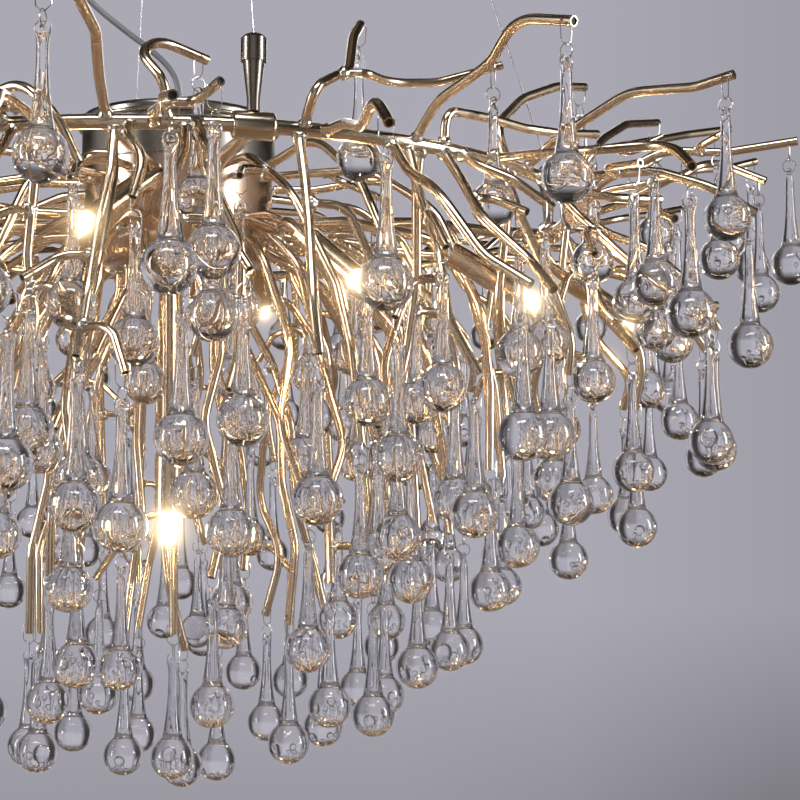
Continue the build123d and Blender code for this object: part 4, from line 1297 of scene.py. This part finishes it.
# ---------------------------------------------------------------- branches
@dataclass
class Branches:
    """The bent tubes, with silver solder where they are brazed and black discs of painted shade inside their
    open ends.

    Attributes:
        foot_bead: The radius and height of a bead of solder at a branch's foot.
        fork_bead: The radius and height of a bead where a twig leaves its branch.
        inset: How far a cross hole lies from its tube's end.
        shade_depth: How far the black disc of painted shade lies inside a bore's mouth.
        bore_radius: The radius of a branch's open end, inside.
        bead_spread: How much the beads differ in size, as a share.
        foot_slack: How much farther than the nearest corner still belongs to a foot.
        foot_reach: How much of a branch, from its foot, says which way it sets out.
        sharp_cosine: The cosine between faces under which an edge is sharp.
        end_reach: How near a hole or a foot an edge belongs to that end.
        fewest_corners: The corners that a loop round a twig has at least.
        rim_band: How much farther than the inset the corners of a rim lie.
        rim_slack: How far the middle of a rim may be off.
    """

    foot_bead: tuple[float, float] = (0.0062, 0.0046)
    fork_bead: tuple[float, float] = (0.0056, 0.0044)
    inset: float = 0.008
    shade_depth: float = 0.0012
    bore_radius: float = 0.0027
    bead_spread: float = 0.12
    foot_slack: float = 0.0016
    foot_reach: float = 0.03
    sharp_cosine: float = 0.8
    end_reach: float = 0.013
    fewest_corners: int = 9
    rim_band: tuple[float, float] = (0.0002, 0.0011)
    rim_slack: float = 0.0006

    def build(self) -> None:
        """Dress the branches and set out the beads and the black discs of painted shade in the bores."""
        nodes = sorted(name for name in frame["nodes"] if name.endswith("_branches"))
        holes = [hook_place(points).origin for points in solids_of("drop_hooks")]
        holes += [swinging_place(number).origin for number in swinging_numbers()]
        feet: list[Place] = []
        forks: list[Place] = []
        corners = []
        for node in nodes:
            smooth_copy(node, node.replace("_branches", "_boughs"), CHAMPAGNE)
            solids = solids_of(node)
            feet += [self.foot(points) for points in solids]
            forks += self.forks(node, holes, feet)
            corners.append(np.concatenate(solids))
        ends = self.open_ends(np.concatenate(corners), holes)
        log.info("%d feet, %d forks, %d open ends", len(feet), len(forks), len(ends))
        for name, bead, places, seed in (
            ("foot_solder", self.foot_bead, feet, 3),
            ("fork_solder", self.fork_bead, forks, 5),
        ):
            spread = {"size_spread": self.bead_spread, "spin_spread": math.pi, "seed": seed}
            set_out(name, self.bead(*bead), places, SOLDER, "frame", **spread)
        # Black discs of painted shade just inside each open tube end.
        set_out("open_bores", self.shade_disc(), ends, BORE_SHADE, "frame")

    def foot(self, points: np.ndarray) -> Place:
        """Where a branch stands on its carrier.

        Args:
            points: The branch's corners.

        Returns:
            The middle of its foot, with Z along the tube.
        """
        flat = np.hypot(points[:, 0], points[:, 1])
        from_ring = np.hypot(flat - RING_RADIUS, points[:, 2] - RING_HEIGHT)
        from_hub = np.abs(flat - HOUSING_RADIUS)
        below = np.where(flat < HOUSING_RADIUS, np.abs(points[:, 2] - HOUSING_BOTTOM), 1.0)
        distance = min((from_ring, from_hub, below), key=lambda d: d.min())
        foot = middle(points[distance < distance.min() + self.foot_slack])
        around = points[np.linalg.norm(points - foot, axis=1) < self.foot_reach]
        way = around.mean(0) - foot
        return Place.along(foot, way if np.linalg.norm(way) > 10 * WELD else (0.0, 0.0, -1.0))

    def forks(self, node: str, holes: Sequence[Vector], feet: Sequence[Place]) -> list[Place]:
        """Where twigs leave the branches of a node: closed loops of sharp edges away from any end.

        Args:
            node: The CAD node.
            holes: The middles of all cross holes.
            feet: The feet of the branches.

        Returns:
            The middle of each fork, with Z along the twig.
        """
        points, faces = corners_of(node)
        first, second, third = (points[faces[:, k]] for k in range(3))
        normals = np.cross(second - first, third - first)
        normals /= np.maximum(np.linalg.norm(normals, axis=1, keepdims=True), 1e-12)
        edges = np.concatenate([faces[:, [0, 1]], faces[:, [1, 2]], faces[:, [2, 0]]])
        edges = np.sort(edges, axis=1)
        owner = np.tile(np.arange(len(faces)), 3)
        order = np.lexsort((edges[:, 1], edges[:, 0]))
        edges, owner = edges[order], owner[order]
        paired = (edges[:-1] == edges[1:]).all(1)
        bend = (normals[owner[:-1]] * normals[owner[1:]]).sum(1)
        sharp = edges[:-1][paired & (bend < self.sharp_cosine)]
        ends = np.array([tuple(end) for end in (*holes, *(foot.origin for foot in feet))])
        near = np.array([np.linalg.norm(ends - point, axis=1).min() < self.end_reach for point in points])
        loops = joined(points, sharp[~near[sharp].any(1)])
        return [self.fork(loop) for loop in loops if len(loop) >= self.fewest_corners]

    def fork(self, loop: np.ndarray) -> Place:
        """The place of a fork from the loop of corners round it."""
        centre = middle(loop)
        _, axes = np.linalg.eigh((loop - centre).T @ (loop - centre))
        return Place.along(centre, axes[:, 0])

    def open_ends(self, corners: np.ndarray, holes: Sequence[Vector]) -> list[Place]:
        """The mouths of the tubes, found from the rims a known way from each cross hole.

        Args:
            corners: The corners of all branches.
            holes: The middles of all cross holes.

        Returns:
            A place just inside each mouth, with Z outward.
        """
        ends = []
        for hole in holes:
            away = corners - np.array(hole)
            length = np.linalg.norm(away, axis=1)
            nearest, farthest = (self.inset + more for more in self.rim_band)
            rim = away[(length > nearest) & (length < farthest)]
            if not len(rim):
                continue
            way = rim.mean(0)
            if abs(np.linalg.norm(way) - self.inset) < self.rim_slack:
                inside = np.array(hole) + way * (1 - self.shade_depth / self.inset)
                ends.append(Place.along(inside, way))
        return ends

    def bead(self, radius: float, height: float) -> bpy.types.Object:
        """One lump of solder round a tube."""
        below = [(0.0, -0.6), (0.75, -0.55), (1.0, -0.2)]
        above = [(0.95, 0.15), (0.78, 0.55), (0.64, 1.0), (0.0, 1.02)]
        shell = lathe([(r * radius, h * height) for r, h in below + above], 10)
        for corner in shell.verts:
            wobble = math.sin(9.1 * math.atan2(corner.co.y, corner.co.x) + 400 * corner.co.z)
            corner.co.x *= 1 + 0.07 * wobble
            corner.co.y *= 1 + 0.07 * wobble
        return master(finished("bead_master", shell, SOLDER, 60.0))

    def shade_disc(self) -> bpy.types.Object:
        """A black disc of painted shade inside one open end."""
        profile = [(0.0, 0.0), (self.bore_radius, 0.0), (self.bore_radius, -0.001), (0.0, -0.001)]
        return master(finished("plug_master", lathe(profile, 14), BORE_SHADE))


# ---------------------------------------------------------------- crystals
@dataclass(frozen=True)
class Hanger:
    """The hook, ring and glass drop under one cross hole, whose middle is the origin.

    Attributes:
        wire: The wire's thickness in the CAD, where it is square.
        wire_share: The round wire's radius, as a share of that.
        half_width: Half the hook's width.
        leg: The hook's straight legs.
        point: The depth of its point.
        end: How far its ends stop from the middle.
        link_radius: The ring's radius.
        link_centre: The height of the ring's centre.
        eye_centre: The height of the hole in the drop.
        eye_radius: The radius of that hole.
        head: The outline of the drop's flared head: radius, and height above the hole's middle.
        head_radius: Half the width of that head.
        half_pinch: Half the thickness of the head where it is pinched flat.
        pinch: The depths below the hole between which the pinch fades out.
        neck_start: The depth at which the neck begins.
        neck_top: The neck's radius at its top.
        neck_middle: The neck's radius halfway down.
        neck_foot: The neck's radius where it meets the ball.
        ball_centre: The height of the ball's centre.
        ball_radius: The ball's radius.
        segments: The number of the drop's sides.
    """

    wire: float = 0.001
    wire_share: float = 0.42
    half_width: float = 0.006
    leg: float = 0.014
    point: float = 0.018
    end: float = 0.001
    link_radius: float = 0.006
    link_centre: float = -0.02227
    eye_centre: float = -0.02887
    eye_radius: float = 0.0016
    head: tuple[tuple[float, float], ...] = (
        (0.0, 0.0040),
        (0.0034, 0.0040),
        (0.0046, 0.0034),
        (0.0054, 0.0020),
        (0.0058, 0.0),
        (0.0056, -0.0026),
        (0.0051, -0.0052),
    )
    head_radius: float = 0.0058
    half_pinch: float = 0.0017
    pinch: tuple[float, float] = (0.0035, 0.0110)
    neck_start: float = 0.0088
    neck_top: float = 0.0042
    neck_middle: float = 0.0050
    neck_foot: float = 0.0089
    ball_centre: float = -0.11387
    ball_radius: float = 0.019
    segments: int = 24

    def hook(self) -> bpy.types.Object:
        """One wire hook."""
        w, leg, point = self.half_width, -self.leg, -self.point
        half = [(-self.end, 0), (-w + 0.0015, 0), (-w + 0.0004, -0.0004), (-w, -0.0015)]
        half += [(-w * 0.98, leg * 0.6), (-w * 0.9, leg), (-w * 0.5, (leg + point) / 2), (-w * 0.12, point)]
        route = half + [(-x, z) for x, z in reversed(half)]
        points = [Vector((x, 0.0, z)) for x, z in route]
        return master(finished("hook_master", bent_wire(points, self.wire * self.wire_share, 6), WIRE))

    def link(self) -> bpy.types.Object:
        """One round ring."""
        radius, centre = self.link_radius, self.link_centre
        ring = [Vector((0.0, radius * y, centre + radius * z)) for y, z in round_of(18)]
        shell = bent_wire(ring, self.wire * self.wire_share, 6, closed=True)
        return master(finished("link_master", shell, WIRE))

    def profile(self) -> list[tuple[float, float]]:
        """The drop's outline from its head to the bottom of its ball."""
        points = [(radius, self.eye_centre + height) for radius, height in self.head]
        start = self.eye_centre - self.neck_start
        end = self.ball_centre + math.sqrt(self.ball_radius**2 - self.neck_foot**2)
        for i in range(8):
            t = i / 8
            straight = self.neck_top + (self.neck_foot - self.neck_top) * t
            sag = 4 * t * (1 - t) * ((self.neck_top + self.neck_foot) / 2 - self.neck_middle)
            points.append((straight - sag, start + (end - start) * t))
        first = math.asin(self.neck_foot / self.ball_radius)
        for i in range(15):
            polar = first + (math.pi - first) * i / 14
            height = self.ball_centre + self.ball_radius * math.cos(polar)
            points.append((self.ball_radius * math.sin(polar), height))
        points[-1] = (0.0, self.ball_centre - self.ball_radius)
        return points

    def drop(self) -> bpy.types.Object:
        """One solid glass drop: a pinched head with its hole, a neck and a ball."""
        shell = lathe(self.profile(), self.segments)
        for corner in shell.verts:
            depth = self.eye_centre - corner.co.z
            top, bottom = self.pinch
            fade = min(max((depth - top) / (bottom - top), 0.0), 1.0)
            most = self.half_pinch + fade * (self.head_radius - self.half_pinch)
            if fade < 1.0:
                corner.co.y = min(max(corner.co.y, -most), most)
        drop = finished("drop_master", shell, CRYSTAL, 50.0)
        hole = self.eye_cutter()
        cut = drop.modifiers.new("eye", "BOOLEAN")
        cut.operation, cut.solver, cut.object = "DIFFERENCE", "EXACT", hole
        bpy.context.view_layer.update()
        drop.data = bpy.data.meshes.new_from_object(drop.evaluated_get(bpy.context.evaluated_depsgraph_get()))
        drop.modifiers.clear()
        bpy.data.objects.remove(hole)
        return master(drop)

    def eye_cutter(self) -> bpy.types.Object:
        """A round bar that stands through the head where its hole will be."""
        radius, reach = self.eye_radius, 0.004
        spots = [(radius * x, -reach, self.eye_centre + radius * z) for x, z in round_of(16)]
        cutter = bmesh.new()
        face = cutter.faces.new([cutter.verts.new(spot) for spot in spots])
        made = bmesh.ops.extrude_face_region(cutter, geom=[face])["geom"]
        moved = [vert for vert in made if isinstance(vert, bmesh.types.BMVert)]
        bmesh.ops.translate(cutter, verts=moved, vec=(0.0, 2 * reach, 0.0))
        bmesh.ops.recalc_face_normals(cutter, faces=cutter.faces)
        return finished("eye_cutter", cutter, CRYSTAL)


@dataclass
class Crystals:
    """All hooks, rings and glass drops, fixed and swinging.

    Attributes:
        hanger: The hanger that is repeated.
        shares: How many pieces the fixed drops are split into, by the side they hang on.
    """

    hanger: Hanger = field(default_factory=Hanger)
    shares: int = 4

    def build(self) -> None:
        """Set out the hangers on the frame and on the bodies that swing."""
        hook, link, drop = self.hanger.hook(), self.hanger.link(), self.hanger.drop()
        places = [hook_place(points) for points in solids_of("drop_hooks")]
        set_out("wire_hooks", hook, places, WIRE, "frame", "drop_hooks")
        set_out("wire_links", link, places, WIRE, "frame", "drop_links")
        for share in range(self.shares):
            side = [place for place in places if self.side_of(place) == share]
            set_out(f"crystal_drops_{share + 1}", drop, side, CRYSTAL, "frame", "glass_drops")
        for number in swinging_numbers():
            place = [swinging_place(number)]
            upper, lower = f"hook_{number}", f"drop_{number}"
            hook_node, drop_node = f"swinging_{upper}", f"swinging_{lower}"
            set_out(f"swinging_hook_wire_{number}", hook, place, WIRE, upper, hook_node)
            set_out(f"swinging_link_wire_{number}", link, place, WIRE, upper)
            set_out(f"swinging_crystal_{number}", drop, place, CRYSTAL, lower, drop_node)

    def side_of(self, place: Place) -> int:
        """Which share of the circle a place is in."""
        angle = math.atan2(place.origin.y, place.origin.x) % (2 * math.pi)
        return int(angle / (2 * math.pi) * self.shares) % self.shares


def main() -> None:
    """Build the studio and every sub-assembly."""
    logging.basicConfig(level=logging.INFO, format="%(message)s", stream=sys.stdout)
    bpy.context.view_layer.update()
    for make in (hand_polish_group, turned_grain_group, repeat_group, smooth_group):
        make()
    for assembly in (Studio(), Suspension(), Hub(), Lamps(), Branches(), Crystals()):
        log.info("building %s", type(assembly).__name__)
        assembly.build()
    for part in PARTS:
        bpy.data.objects.remove(part)


if __name__ == "__main__":
    main()
